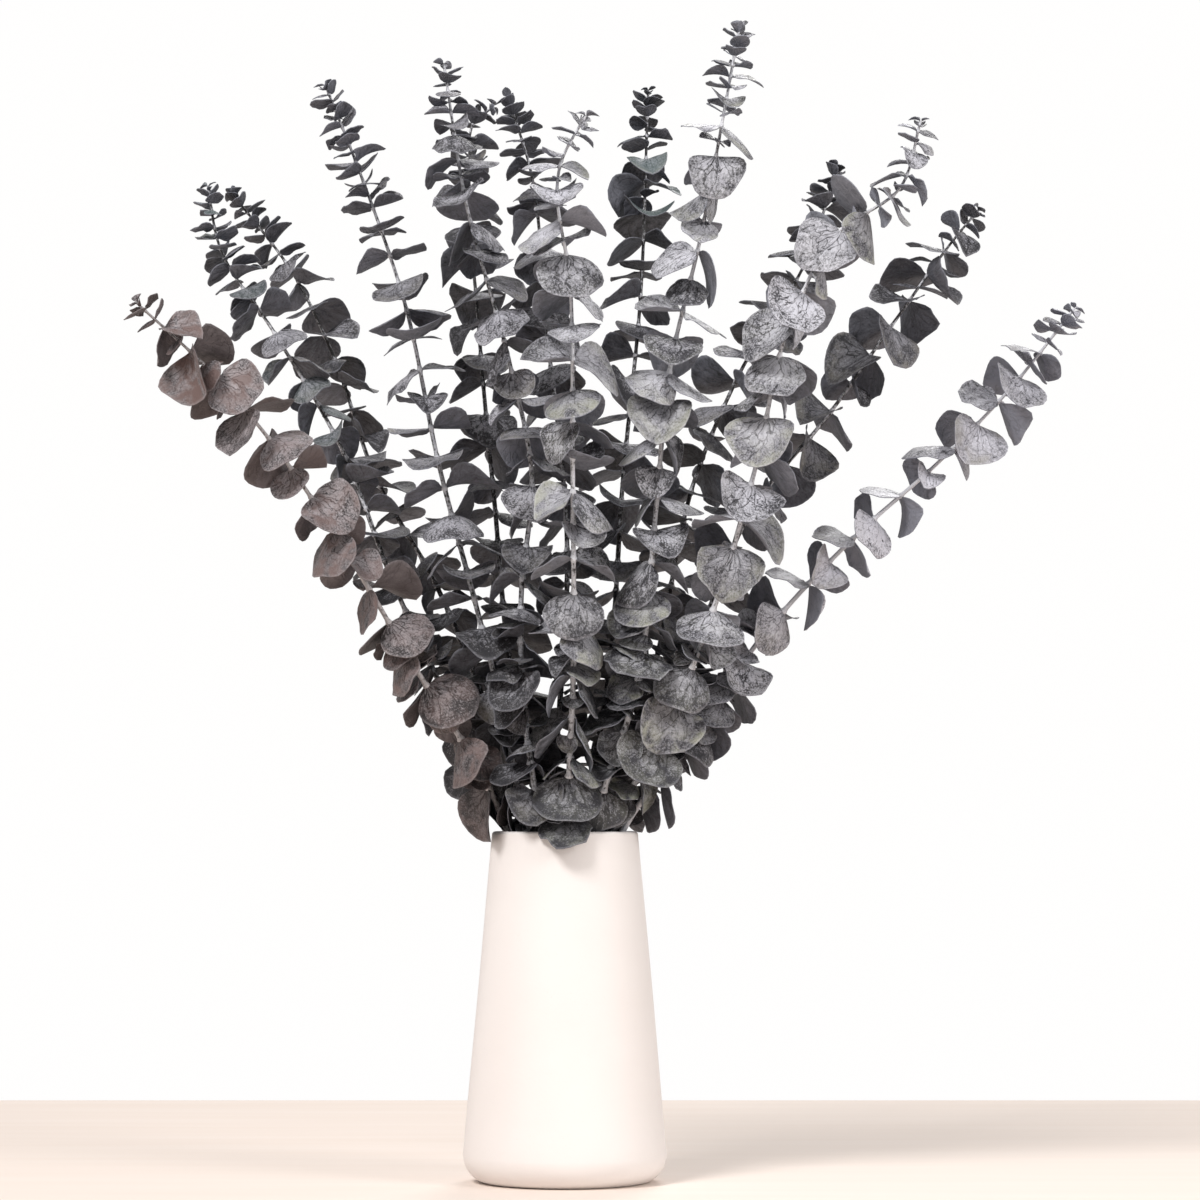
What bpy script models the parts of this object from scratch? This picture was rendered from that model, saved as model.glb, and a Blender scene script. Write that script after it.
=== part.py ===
"""Grey preserved eucalyptus branches standing in a tapered ceramic vase.

Metres, +Z up. The origin is the middle of the vase's foot, on the surface that it stands on, and the front of
the arrangement faces -Y. Every branch is one solid: a tapering stem with its opposite pairs of round leaves
grown out of its sides, each pair turned a quarter turn from the one before. The branches stand on the vase's
floor and fan out above its rim, and a leaf that would cross its neighbours is bent clear of them.
"""

import bisect
import itertools
import math
import random
from collections import namedtuple

import bmesh
import bpy
from mathutils import Vector
from mathutils.bvhtree import BVHTree

# The vase.
VASE_HEIGHT = 0.200
VASE_RIM_RADIUS = 0.0417
VASE_WIDEST_RADIUS = 0.0582
VASE_WIDEST_HEIGHT = 0.016
VASE_FOOT_RADIUS = 0.0440
VASE_WALL = 0.0040
VASE_FLOOR = 0.0060
VASE_CORNER_STEPS = 3
VASE_TURN_STEPS = 32

# The stems, whose cross-section is a square, so that a leaf can grow from each of its sides.
STEM_FOOT_RADIUS = 0.0024
STEM_TIP_RADIUS = 0.0008
BARE_STEPS = 4
CURVE_STEP = 0.004
SEAT_GAP = 0.0003
FOOT_SPREAD = 0.80
FOOT_STRAIGHT = 0.030

# The leaves. Young ones, near a branch's tip, are small, narrow, close together and raised.
LEAF_THICKNESS = 0.0008
SMALLEST_LEAF = 0.0118
LARGEST_YOUNG_LEAF = 0.0185
FIRST_LEAF_FROM_TIP = 0.006
YOUNGEST_SIZE = 0.25
SIZE_GROWTH_POWER = 0.8
YOUNGEST_WIDTH_PER_LENGTH = 1.00
GROWN_WIDTH_PER_LENGTH = 1.42
YOUNGEST_PITCH_SHARE = 0.55
YOUNGEST_DROOP = math.radians(-50)
DROOP_GROWTH_POWER = 0.5

# Low in the bunch the leaves are larger and closer together, and hang. The lower they are, the more so.
HANGING_HEIGHT = 0.300
HANGING_DROOP = math.radians(50)
HANGING_SIZE_GAIN = 0.40
HANGING_PITCH_SHARE = 0.60

# Below its lowest pair a branch has one more leaf, which hangs outwards over the vase's rim.
SKIRT_GAP = 0.007
SKIRT_DROOP = math.radians(50)
SKIRT_RADIUS = 0.025

# Leaves that face this squarely into the bunch are left out below this height, as the stems are too close.
CROWDED_HEIGHT = 0.330
CROWDED_INWARD = 0.80

# The ranges that the draws for single leaves are made from. The first four are angles in degrees.
PAIR_TURN_DRAW = (-9, 9)
LEAF_TURN_DRAW = (-9, 9)
DROOP_DRAW = (-18, 18)
ROLL_DRAW = (-17, 17)
LENGTH_DRAW = (0.88, 1.10)
PITCH_DRAW = (0.90, 1.10)
FOLD_DRAW = (-0.38, 0.55)
TIP_CURL_DRAW = (-0.48, 0.16)

# What a leaf keeps free round its faces, its edge and its own stem, and how it may be bent to do so: by these
# angles in degrees and to these shares of its size.
FACE_CLEARANCE = 0.0004
EDGE_CLEARANCE = 0.0007
STEM_CLEARANCE = 0.0003
TURN_BENDS = (0, -14, 14, -28, 28, -42, 42, -56, 56)
DROOP_BENDS = (0, 14, -14, 28, -28, 42, -42, -56, -70, -84)
SIZE_BENDS = (1.0, 0.86, 0.72, 0.58)
FULL_SHRINK_IN_DEGREES = 130
HEIGHT_IN_ORDER = 0.4

QUARTER_TURN = math.pi / 2

# The colours of the glaze and of the branches.
CERAMIC = (0.86, 0.81, 0.75)
GREY_LEAF = (0.13, 0.125, 0.14)
PALE_LEAF = (0.22, 0.215, 0.235)
BROWN_LEAF = (0.17, 0.13, 0.125)
CERAMIC_ROUGHNESS = 0.6
LEAF_ROUGHNESS = 0.65

# The branches' outlines are given as seen from this point, in the upright plane through the vase's axis.
EYE = Vector((0.0, -2.30, 0.218))

# One branch. tint is its colour, rim is where its stem passes the vase's rim, depth is how far its tip lies
# behind the vase's axis (towards the front where negative), and path is its outline from low to high, as seen
# (x, z) points. turn is the angle of its leaf pairs about the stem, droop how far its grown leaves hang back
# from the stem, leaf their length, pitch the distance between grown pairs, young the length of the young tip
# along which the leaves grow to full size, and bare the height below which the stem has no leaves.
# All lengths are in millimetres and angles in degrees.
Branch = namedtuple("Branch", "name tint rim depth path turn droop leaf pitch young bare")

BRANCHES = (
    Branch("branch_01", BROWN_LEAF, (-33, -9), -105,
           ((-89, 299), (-129, 366), (-171, 427), (-202, 463), (-247, 505)),
           35, 30, 27, 21.5, 28, 222),
    Branch("branch_02", GREY_LEAF, (-30, 9), 25,
           ((-61, 262), (-98, 340), (-131, 424), (-168, 487), (-201, 540), (-207, 573)),
           20, 20, 21, 17, 75, 224),
    Branch("branch_03", GREY_LEAF, (-21, 21), 95,
           ((-42, 262), (-76, 344), (-109, 402), (-135, 475), (-157, 520), (-194, 569)),
           60, 16, 21, 17.5, 75, 228),
    Branch("branch_04", GREY_LEAF, (-24, -13), -30,
           ((-34, 261), (-51, 329), (-72, 408), (-93, 506), (-120, 584), (-139, 632)),
           4, 8, 25, 17, 120, 226),
    Branch("branch_05", GREY_LEAF, (-14, -27), -60,
           ((-24, 276), (-25, 336), (-19, 405), (-32, 471), (-57, 563), (-70, 644)),
           0, 28, 24, 17.5, 60, 221),
    Branch("branch_06", GREY_LEAF, (-7, 28), 75,
           ((-26, 264), (-42, 397), (-51, 496), (-56, 580), (-52, 612), (-42, 619)),
           10, 16, 23, 18.5, 60, 226),
    Branch("branch_07", GREY_LEAF, (-9, 7), 40,
           ((-3, 276), (1, 351), (-12, 498), (-21, 584), (-34, 625)),
           80, 22, 23, 18.5, 70, 330),
    Branch("branch_08", PALE_LEAF, (1, -29), -125,
           ((5, 287), (5, 402), (4, 513), (-1, 588), (13, 614)),
           2, 20, 26, 18.5, 60, 229),
    Branch("branch_09", GREY_LEAF, (9, 26), 110,
           ((23, 276), (33, 406), (43, 513), (46, 597), (47, 629)),
           5, 16, 24, 18, 60, 223),
    Branch("branch_10", PALE_LEAF, (16, -23), -115,
           ((42, 285), (53, 387), (61, 466), (79, 543), (93, 617), (102, 666)),
           0, 27, 26, 17.5, 75, 222),
    Branch("branch_11", GREY_LEAF, (19, 13), 105,
           ((49, 287), (76, 408), (99, 462), (141, 535), (156, 584)),
           40, 18, 24, 18.5, 50, 226),
    Branch("branch_12", PALE_LEAF, (26, -17), -130,
           ((59, 261), (88, 334), (110, 408), (133, 499), (159, 546), (195, 572), (207, 611)),
           0, 32, 27, 19, 60, 228),
    Branch("branch_13", GREY_LEAF, (30, 7), 20,
           ((72, 299), (110, 389), (151, 439), (190, 494), (228, 546), (239, 559)),
           50, 26, 25, 19, 35, 223),
    Branch("branch_14", GREY_LEAF, (33, -7), -60,
           ((72, 253), (117, 316), (172, 374), (213, 410), (259, 457), (295, 502)),
           25, 24, 24, 19, 45, 227),
)

# One leaf: the branch and pair that it belongs to, its root in the middle of the stem's side, the ways out of
# that side and to the root's left end, the axes of its blade (across, along from root to tip, and up out of
# the face turned to the branch's tip), its size, how steeply its halves are folded up, and how its tip curls.
Leaf = namedtuple("Leaf", "branch pair side root out aside across along up length width fold tip_curl")

# A place on a stem: its point, the stem's direction and radius there, and the turn of its square section.
Node = namedtuple("Node", "point up radius turn")


def clear_scene():
    for obj in list(bpy.data.objects):
        bpy.data.objects.remove(obj)


def plain_material(name, colour, roughness):
    material = bpy.data.materials.new(name)
    material.use_nodes = True
    shader = material.node_tree.nodes["Principled BSDF"]
    shader.inputs["Base Color"].default_value = (*colour, 1.0)
    shader.inputs["Roughness"].default_value = roughness
    shader.inputs["Metallic"].default_value = 0.0
    return material


# The vase


def corner_arc(radius, height, wide, tall):
    """The rounded bottom corner of a turned profile, from (radius, height) out and up."""
    arc = []
    for step in range(VASE_CORNER_STEPS + 1):
        angle = QUARTER_TURN * step / VASE_CORNER_STEPS
        arc.append((radius + wide * math.sin(angle), height + tall * (1 - math.cos(angle))))
    return arc


def vase_profile():
    """Down the outside from the rim to the foot, and back up the inside."""
    half_wall = VASE_WALL / 2
    corner_width = VASE_WIDEST_RADIUS - VASE_FOOT_RADIUS
    outer = corner_arc(VASE_FOOT_RADIUS, 0.0, corner_width, VASE_WIDEST_HEIGHT)
    inner = corner_arc(
        VASE_FOOT_RADIUS - half_wall, VASE_FLOOR, corner_width - half_wall, VASE_WIDEST_HEIGHT
    )
    lip = [
        (VASE_RIM_RADIUS - VASE_WALL, VASE_HEIGHT - half_wall / 2),
        (VASE_RIM_RADIUS - half_wall, VASE_HEIGHT),
        (VASE_RIM_RADIUS, VASE_HEIGHT - half_wall / 2),
    ]
    return [(0.0, VASE_FLOOR), *inner, *lip, *reversed(outer), (0.0, 0.0)]


def make_vase(collection, material):
    mesh = bpy.data.meshes.new("vase")
    points = [(radius, 0.0, height) for radius, height in vase_profile()]
    mesh.from_pydata(points, [(i, i + 1) for i in range(len(points) - 1)], [])
    vase = bpy.data.objects.new("vase", mesh)
    turn = vase.modifiers.new("turn", "SCREW")
    turn.axis = "Z"
    turn.angle = math.tau
    turn.steps = VASE_TURN_STEPS
    turn.render_steps = VASE_TURN_STEPS
    turn.use_merge_vertices = True
    turn.merge_threshold = 1e-5
    turn.use_smooth_shade = True
    mesh.materials.append(material)
    collection.objects.link(vase)
    return vase


# The stems


def seen_point(x, z, depth):
    """The point that far behind the vase's axis which is seen at (x, z) from EYE. Millimetres in."""
    flat = Vector((x, 0.0, z)) / 1000
    reach = (depth / 1000 - EYE.y) / -EYE.y
    return EYE + (flat - EYE) * reach


def stem_knots(branch):
    """The points that a stem's centreline passes through, from its foot on the vase's floor to its tip."""
    rim = Vector((branch.rim[0] / 1000, branch.rim[1] / 1000, VASE_HEIGHT))
    foot = Vector((rim.x * FOOT_SPREAD, rim.y * FOOT_SPREAD, VASE_FLOOR + SEAT_GAP))
    knots = [foot, foot + Vector((0.0, 0.0, FOOT_STRAIGHT)), rim]
    low, high = VASE_HEIGHT * 1000, branch.path[-1][1]
    for x, z in branch.path:
        share = (z - low) / (high - low)
        knots.append(seen_point(x, z, branch.rim[1] + (branch.depth - branch.rim[1]) * share))
    return knots


def smooth_curve(knots):
    """Closely spaced points on a smooth curve through the knots."""
    gaps = [(b - a).length for a, b in zip(knots, knots[1:])]
    slopes = [(knots[1] - knots[0]) / gaps[0]]
    for i in range(1, len(knots) - 1):
        before = (knots[i] - knots[i - 1]) / gaps[i - 1]
        after = (knots[i + 1] - knots[i]) / gaps[i]
        slopes.append((before * gaps[i] + after * gaps[i - 1]) / (gaps[i - 1] + gaps[i]))
    slopes.append((knots[-1] - knots[-2]) / gaps[-1])
    points = [knots[0].copy()]
    for i, gap in enumerate(gaps):
        count = max(1, round(gap / CURVE_STEP))
        for k in range(1, count + 1):
            t = k / count
            points.append(
                knots[i] * (2 * t**3 - 3 * t**2 + 1)
                + slopes[i] * gap * (t**3 - 2 * t**2 + t)
                + knots[i + 1] * (3 * t**2 - 2 * t**3)
                + slopes[i + 1] * gap * (t**3 - t**2)
            )
    return points


def lengths_along(points):
    """The distance along the points from the first to each."""
    total = [0.0]
    for a, b in zip(points, points[1:]):
        total.append(total[-1] + (b - a).length)
    return total


def length_at_height(points, lengths, height):
    return next(length for point, length in zip(points, lengths) if point.z >= height)


def node_at(points, lengths, distance, turn):
    """The place that far along a stem, its square section turned by that angle."""
    i = bisect.bisect_left(lengths, distance, 1, len(lengths) - 1)
    share = (distance - lengths[i - 1]) / (lengths[i] - lengths[i - 1])
    radius = STEM_FOOT_RADIUS + (STEM_TIP_RADIUS - STEM_FOOT_RADIUS) * (distance / lengths[-1]) ** 1.25
    up = (points[i] - points[i - 1]).normalized()
    return Node(points[i - 1].lerp(points[i], share), up, radius, turn)


def side_direction(node, side):
    """Straight out of one of the stem's four sides at a node. Side 0 faces right where it isn't turned."""
    front = Vector((0.0, -1.0, 0.0))
    front = (front - node.up * front.dot(node.up)).normalized()
    right = front.cross(node.up)
    angle = node.turn + side * QUARTER_TURN
    return right * math.cos(angle) + node.up.cross(right) * math.sin(angle)


def square_section(end, node, shift):
    """Move the corners of a stem's end face to the square section that far past the node."""
    for corner, vert in enumerate(end.verts):
        diagonal = (side_direction(node, corner) + side_direction(node, corner + 1)).normalized()
        vert.co = node.point + node.up * shift + diagonal * node.radius


def extrude_stem(body, end, node, shift):
    """Extrude a stem's end face to the square section that far past the node. Returns the new end face."""
    end = bmesh.ops.extrude_discrete_faces(body, faces=[end])["faces"][0]
    square_section(end, node, shift)
    return end


def branch_stem(branch, points, nodes, leafy):
    """A branch's stem. Returns it and, for each leafy pair, the (low, high) corners of a band round it."""
    lengths = lengths_along(points)
    turn = math.radians(branch.turn)
    rim = length_at_height(points, lengths, VASE_HEIGHT)
    bare = [node_at(points, lengths, rim * i / BARE_STEPS, turn) for i in range(BARE_STEPS + 1)]
    body = bmesh.new()
    bmesh.ops.create_circle(body, cap_ends=True, segments=4, radius=1.0)
    end = list(body.faces)[0]
    square_section(end, bare[0], 0.0)
    foot = bmesh.ops.duplicate(body, geom=[end])["geom"]
    bmesh.ops.reverse_faces(body, faces=[item for item in foot if isinstance(item, bmesh.types.BMFace)])
    for node in bare[1:]:
        end = extrude_stem(body, end, node, 0.0)
    bands = {}
    for pair, node in reversed(list(enumerate(nodes))):
        if pair in leafy:
            end = extrude_stem(body, end, node, -LEAF_THICKNESS / 2)
            low = list(end.verts)
            end = extrude_stem(body, end, node, LEAF_THICKNESS / 2)
            bands[pair] = (low, list(end.verts))
        else:
            end = extrude_stem(body, end, node, 0.0)
    extrude_stem(body, end, node_at(points, lengths, lengths[-1], turn), 0.0)
    bmesh.ops.remove_doubles(body, verts=body.verts, dist=1e-7)
    return body, bands


# The leaves

# Half of a blade's outline, from root to tip, as (share of the width, share of the length).
GROWN_OUTLINE = ((0.46, 0.12), (0.41, 0.76), (0.0, 1.0))
YOUNG_OUTLINE = ((0.50, 0.40), (0.0, 1.0))


def blade_point(leaf, across, along):
    """A point of the blade's upper face. across and along are shares of its width and length."""
    rise = leaf.fold * abs(across) * leaf.width + leaf.tip_curl * along**2 * leaf.length
    return leaf.root + leaf.across * across * leaf.width + leaf.along * along * leaf.length + leaf.up * rise


def blade_edge(leaf):
    """The corners of the blade's upper face, anticlockwise, without the two at its root."""
    outline = GROWN_OUTLINE if leaf.length > LARGEST_YOUNG_LEAF else YOUNG_OUTLINE
    right = [blade_point(leaf, across, along) for across, along in outline]
    left = [blade_point(leaf, -across, along) for across, along in outline[:-1]]
    return [*right, *reversed(left)]


def blade_faces(count):
    """Triangles over a blade's face with that many corners. 0 and 1 are its root, the middle one its tip."""
    tip = (count + 1) // 2
    right = [(1, i, i + 1) for i in range(2, tip)]
    left = [(0, i, i + 1) for i in range(tip, count - 1)]
    return [(0, 1, tip), *right, *left]


def grow_blade(body, leaf, band):
    """Grow a blade out of one side of the stem, between the (low, high) corners of its pair's band."""
    low, high = band
    right, left = (leaf.side - 1) % 4, leaf.side
    body.faces.remove(body.faces.get((low[left], low[right], high[right], high[left])))
    edge = blade_edge(leaf)
    upper = [high[left], high[right], *(body.verts.new(point) for point in edge)]
    lower = [low[left], low[right], *(body.verts.new(point - leaf.up * LEAF_THICKNESS) for point in edge)]
    for a, b, c in blade_faces(len(upper)):
        body.faces.new((upper[a], upper[b], upper[c]))
        body.faces.new((lower[c], lower[b], lower[a]))
    for i in range(1, len(upper)):
        k = (i + 1) % len(upper)
        body.faces.new((upper[k], upper[i], lower[i], lower[k]))


def blade_guard(leaf):
    """The points and faces of a slightly larger blade, clear of its own stem, to find what it would cross."""
    above = FACE_CLEARANCE
    below = LEAF_THICKNESS + FACE_CLEARANCE
    lean = leaf.up.dot(leaf.out)
    start = leaf.root + leaf.out * (STEM_CLEARANCE + max(below * lean, -above * lean))
    middle = blade_point(leaf, 0, 0.5)
    swell = 1 + 2 * EDGE_CLEARANCE / leaf.length
    edge = [middle + (point - middle) * swell for point in blade_edge(leaf)]
    outline = [start + leaf.aside, start - leaf.aside, *edge]
    count = len(outline)
    points = [point + leaf.up * above for point in outline] + [point - leaf.up * below for point in outline]
    faces = []
    for face in blade_faces(count):
        faces += [face, tuple(count + i for i in reversed(face))]
    faces += [(i, count + i, count + (i + 1) % count, (i + 1) % count) for i in range(count)]
    return points, faces


def leaf_at(branch, pair, node, side, turn, droop, roll, length, width, fold, tip_curl):
    """The leaf that grows from one side of the stem at a node, turned, drooping and rolled."""
    out = side_direction(node, side)
    half_side = node.radius * math.cos(QUARTER_TURN / 2)
    root = node.point + out * half_side
    left = node.up.cross(out)
    level = out * math.cos(turn) + left * math.sin(turn)
    along = level * math.cos(droop) - node.up * math.sin(droop)
    up = level * math.sin(droop) + node.up * math.cos(droop)
    across = along.cross(up)
    tilted = across * math.cos(roll) + up * math.sin(roll)
    axes = (tilted, along, tilted.cross(along))
    return Leaf(branch, pair, side, root, out, left * half_side, *axes, length, width, fold, tip_curl)


def outward(node):
    """Level, straight away from the vase's axis."""
    return Vector((node.point.x, node.point.y, 0.0)).normalized()


def facing_out(node, side):
    """How squarely a side of the stem faces out of the bunch, from -1 to 1."""
    return side_direction(node, side).dot(outward(node))


def crowded_out(leaf):
    """True of a leaf that would grow towards the middle of the bunch, low down where the stems are close."""
    node = leaf["node"]
    return node.point.z < CROWDED_HEIGHT and facing_out(node, leaf["side"]) < -CROWDED_INWARD


def mix(start, end, share):
    return start + (end - start) * share


def leaf_pair(branch, pair, node, first_side, grown, dice):
    """The two wanted leaves of a pair. grown is 0 at the branch's tip and 1 where its leaves are grown."""
    hanging = max(0.0, HANGING_HEIGHT - node.point.z) / (HANGING_HEIGHT - VASE_HEIGHT)
    size = branch.leaf / 1000 * mix(YOUNGEST_SIZE, 1.0, grown**SIZE_GROWTH_POWER)
    size *= 1 + HANGING_SIZE_GAIN * hanging
    droop = mix(YOUNGEST_DROOP, math.radians(branch.droop), grown**DROOP_GROWTH_POWER)
    droop = mix(droop, max(droop, HANGING_DROOP), hanging)
    leaves = []
    for side in (first_side, first_side + 2):
        length = size * dice.uniform(*LENGTH_DRAW)
        leaves.append(
            {
                "branch": branch.name,
                "pair": pair,
                "node": node,
                "side": side,
                "turn": math.radians(dice.uniform(*LEAF_TURN_DRAW)),
                "droop": droop + math.radians(dice.uniform(*DROOP_DRAW)),
                "roll": math.radians(dice.uniform(*ROLL_DRAW)),
                "length": length,
                "width": length * mix(YOUNGEST_WIDTH_PER_LENGTH, GROWN_WIDTH_PER_LENGTH, grown),
                "fold": dice.uniform(*FOLD_DRAW),
                "tip_curl": dice.uniform(*TIP_CURL_DRAW),
            }
        )
    return leaves


def growth(branch, points, dice):
    """The nodes of the branch's leaf pairs, from its tip down, and the wanted leaves of all of them."""
    lengths = lengths_along(points)
    from_tip = FIRST_LEAF_FROM_TIP
    lowest = length_at_height(points, lengths, branch.bare / 1000)
    nodes, leaves = [], []
    while lengths[-1] - from_tip > lowest + SKIRT_GAP:
        grown = min(1.0, from_tip * 1000 / branch.young)
        turn = math.radians(branch.turn + dice.uniform(*PAIR_TURN_DRAW))
        node = node_at(points, lengths, lengths[-1] - from_tip, turn)
        leaves += leaf_pair(branch, len(nodes), node, len(nodes) % 2, grown, dice)
        nodes.append(node)
        pitch = branch.pitch / 1000 * mix(YOUNGEST_PITCH_SHARE, 1.0, grown)
        if node.point.z < HANGING_HEIGHT:
            pitch *= HANGING_PITCH_SHARE
        from_tip += pitch * dice.uniform(*PITCH_DRAW)
    skirt = node_at(points, lengths, lowest, math.radians(branch.turn))
    outermost = max(range(4), key=lambda side: facing_out(skirt, side))
    beside = skirt.up.cross(side_direction(skirt, outermost)).dot(outward(skirt))
    leaf = leaf_pair(branch, len(nodes), skirt, outermost, 1.0, dice)[0]
    leaves.append(dict(leaf, turn=math.atan2(beside, facing_out(skirt, outermost)), droop=SKIRT_DROOP))
    nodes.append(skirt)
    return nodes, [leaf for leaf in leaves if not crowded_out(leaf)]


def bends():
    """Ways to bend a leaf clear of its neighbours, least first: (turn, droop, size)."""
    ways = []
    for turn, droop, size in itertools.product(TURN_BENDS, DROOP_BENDS, SIZE_BENDS):
        ways.append((abs(turn) + abs(droop) + FULL_SHRINK_IN_DEGREES * (1 - size), turn, droop, size))
    ways.sort()
    return [(math.radians(turn), math.radians(droop), size) for _, turn, droop, size in ways]


class Solids:
    """The solids placed so far, to find what a new one would cross."""

    def __init__(self):
        self.placed = []

    def add(self, points, faces):
        tree = BVHTree.FromPolygons(points, faces)
        low = [min(point[i] for point in points) for i in range(3)]
        high = [max(point[i] for point in points) for i in range(3)]
        self.placed.append((low, high, tree))

    def crossed(self, points, faces):
        low = [min(point[i] for point in points) for i in range(3)]
        high = [max(point[i] for point in points) for i in range(3)]
        tree = BVHTree.FromPolygons(points, faces)
        for lowest, highest, other in self.placed:
            if all(low[i] <= highest[i] and high[i] >= lowest[i] for i in range(3)) and tree.overlap(other):
                return True
        return False


def clear_leaves(wanted, solids):
    """The wanted leaves, outermost first, each bent clear of what is there, or left out if it can't be."""
    ways = bends()
    leaves = []
    for want in wanted:
        for turn, droop, share in ways:
            bent = dict(want, turn=want["turn"] + turn, droop=want["droop"] + droop)
            bent.update(length=want["length"] * share, width=want["width"] * share)
            leaf = leaf_at(**bent)
            guard = blade_guard(leaf)
            if not solids.crossed(*guard):
                solids.add(*guard)
                leaves.append(leaf)
                break
    return leaves


# The assembly


def solid_lists(body):
    """A bmesh's points and faces as plain lists."""
    body.verts.index_update()
    points = [vert.co.copy() for vert in body.verts]
    return points, [[vert.index for vert in face.verts] for face in body.faces]


def skirt_first(leaf):
    """Puts the leaves that hang over the rim first, and then the outermost and highest ones."""
    point = leaf["node"].point
    over_rim = leaf["droop"] == SKIRT_DROOP and math.hypot(point.x, point.y) > SKIRT_RADIUS
    return not over_rim, -math.hypot(point.x, point.y) - HEIGHT_IN_ORDER * point.z


def main():
    clear_scene()
    collection = bpy.data.collections.new("eucalyptus_in_vase")
    bpy.context.scene.collection.children.link(collection)
    vase = make_vase(collection, plain_material("vase_ceramic", CERAMIC, CERAMIC_ROUGHNESS))

    solids = Solids()
    turned = bmesh.new()
    turned.from_object(vase, bpy.context.evaluated_depsgraph_get())
    solids.add(*solid_lists(turned))
    turned.free()

    curves, nodes, wanted = {}, {}, []
    for seed, branch in enumerate(BRANCHES):
        curve = smooth_curve(stem_knots(branch))
        pairs, leaves = growth(branch, curve, random.Random(seed))
        stem, _ = branch_stem(branch, curve, pairs, ())
        solids.add(*solid_lists(stem))
        stem.free()
        curves[branch.name] = curve
        nodes[branch.name] = pairs
        wanted += leaves
    wanted.sort(key=skirt_first)
    leaves = [leaf for leaf in clear_leaves(wanted, solids) if leaf.length >= SMALLEST_LEAF]

    for branch in BRANCHES:
        own = [leaf for leaf in leaves if leaf.branch == branch.name]
        leafy = {leaf.pair for leaf in own}
        stem, bands = branch_stem(branch, curves[branch.name], nodes[branch.name], leafy)
        for leaf in own:
            grow_blade(stem, leaf, bands[leaf.pair])
        mesh = bpy.data.meshes.new(branch.name)
        stem.to_mesh(mesh)
        stem.free()
        mesh.materials.append(plain_material(branch.name + "_leaf", branch.tint, LEAF_ROUGHNESS))
        collection.objects.link(bpy.data.objects.new(branch.name, mesh))


main()
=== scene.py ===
"""The looks of the vase of eucalyptus: fine leaves and stems, the glazed vase, light, floor and camera.

The branches grow here by the same rule and from the same driving values as the solids that they replace, so
a leaf lies where its solid leaf lies. The leaves that the solids leave out grow here too: young ones at and
near the tips, smaller ones where a full one found no room, and low ones in and over the vase's rim.
"""

import bisect
import itertools
import math
import random
from collections import namedtuple

import bmesh
import bpy
import numpy as np
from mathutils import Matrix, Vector
from mathutils.bvhtree import BVHTree


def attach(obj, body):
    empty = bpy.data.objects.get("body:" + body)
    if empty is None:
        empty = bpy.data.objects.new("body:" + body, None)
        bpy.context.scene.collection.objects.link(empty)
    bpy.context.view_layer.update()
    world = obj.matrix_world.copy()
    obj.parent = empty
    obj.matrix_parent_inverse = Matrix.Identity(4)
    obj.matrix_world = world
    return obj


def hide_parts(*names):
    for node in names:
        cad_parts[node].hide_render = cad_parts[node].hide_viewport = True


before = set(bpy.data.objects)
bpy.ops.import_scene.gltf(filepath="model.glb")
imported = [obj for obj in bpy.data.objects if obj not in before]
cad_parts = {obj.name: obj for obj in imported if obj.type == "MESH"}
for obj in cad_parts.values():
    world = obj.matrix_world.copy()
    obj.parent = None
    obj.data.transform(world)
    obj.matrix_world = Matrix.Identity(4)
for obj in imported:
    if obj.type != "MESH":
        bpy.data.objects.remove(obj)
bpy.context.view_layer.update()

BODY = "root"

# The driving values of the vase.
VASE_HEIGHT = 0.200
VASE_RIM_RADIUS = 0.0417
VASE_WIDEST_RADIUS = 0.0582
VASE_WIDEST_HEIGHT = 0.016
VASE_FOOT_RADIUS = 0.0440
VASE_WALL = 0.0040
VASE_FLOOR = 0.0060

# The stems, whose cross-section is a square, so that a leaf can grow from each of its sides.
STEM_FOOT_RADIUS = 0.0024
STEM_TIP_RADIUS = 0.0008
TAPER_POWER = 1.25
BARE_STEPS = 4
CURVE_STEP = 0.004
SEAT_GAP = 0.0003
FOOT_SPREAD = 0.80
FOOT_STRAIGHT = 0.030

# The leaves. Young ones, near a branch's tip, are small, narrow, close together and raised.
LEAF_THICKNESS = 0.0008
LARGEST_YOUNG_LEAF = 0.0185
FIRST_LEAF_FROM_TIP = 0.006
YOUNGEST_SIZE = 0.25
SIZE_GROWTH_POWER = 0.8
YOUNGEST_WIDTH_PER_LENGTH = 1.00
GROWN_WIDTH_PER_LENGTH = 1.42
YOUNGEST_PITCH_SHARE = 0.55
YOUNGEST_DROOP = math.radians(-50)
DROOP_GROWTH_POWER = 0.5

# Low in the bunch the leaves are larger and closer together, and hang. The lower they are, the more so.
HANGING_HEIGHT = 0.300
HANGING_DROOP = math.radians(50)
HANGING_SIZE_GAIN = 0.40
HANGING_PITCH_SHARE = 0.60

# Below its lowest pair a branch has one more leaf, which hangs outwards over the vase's rim. Those that grow
# farther than this radius from the vase's axis are placed first of all.
SKIRT_GAP = 0.007
SKIRT_DROOP = math.radians(50)
SKIRT_RADIUS = 0.025

# Leaves that face this squarely into the bunch are left out below this height, as the stems are too close.
CROWDED_HEIGHT = 0.330
CROWDED_INWARD = 0.80

# The ranges that the draws for single leaves are made from. The first four are angles in degrees.
PAIR_TURN_DRAW = (-9, 9)
LEAF_TURN_DRAW = (-9, 9)
DROOP_DRAW = (-18, 18)
ROLL_DRAW = (-17, 17)
LENGTH_DRAW = (0.88, 1.10)
PITCH_DRAW = (0.90, 1.10)
FOLD_DRAW = (-0.38, 0.55)
TIP_CURL_DRAW = (-0.48, 0.16)

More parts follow.
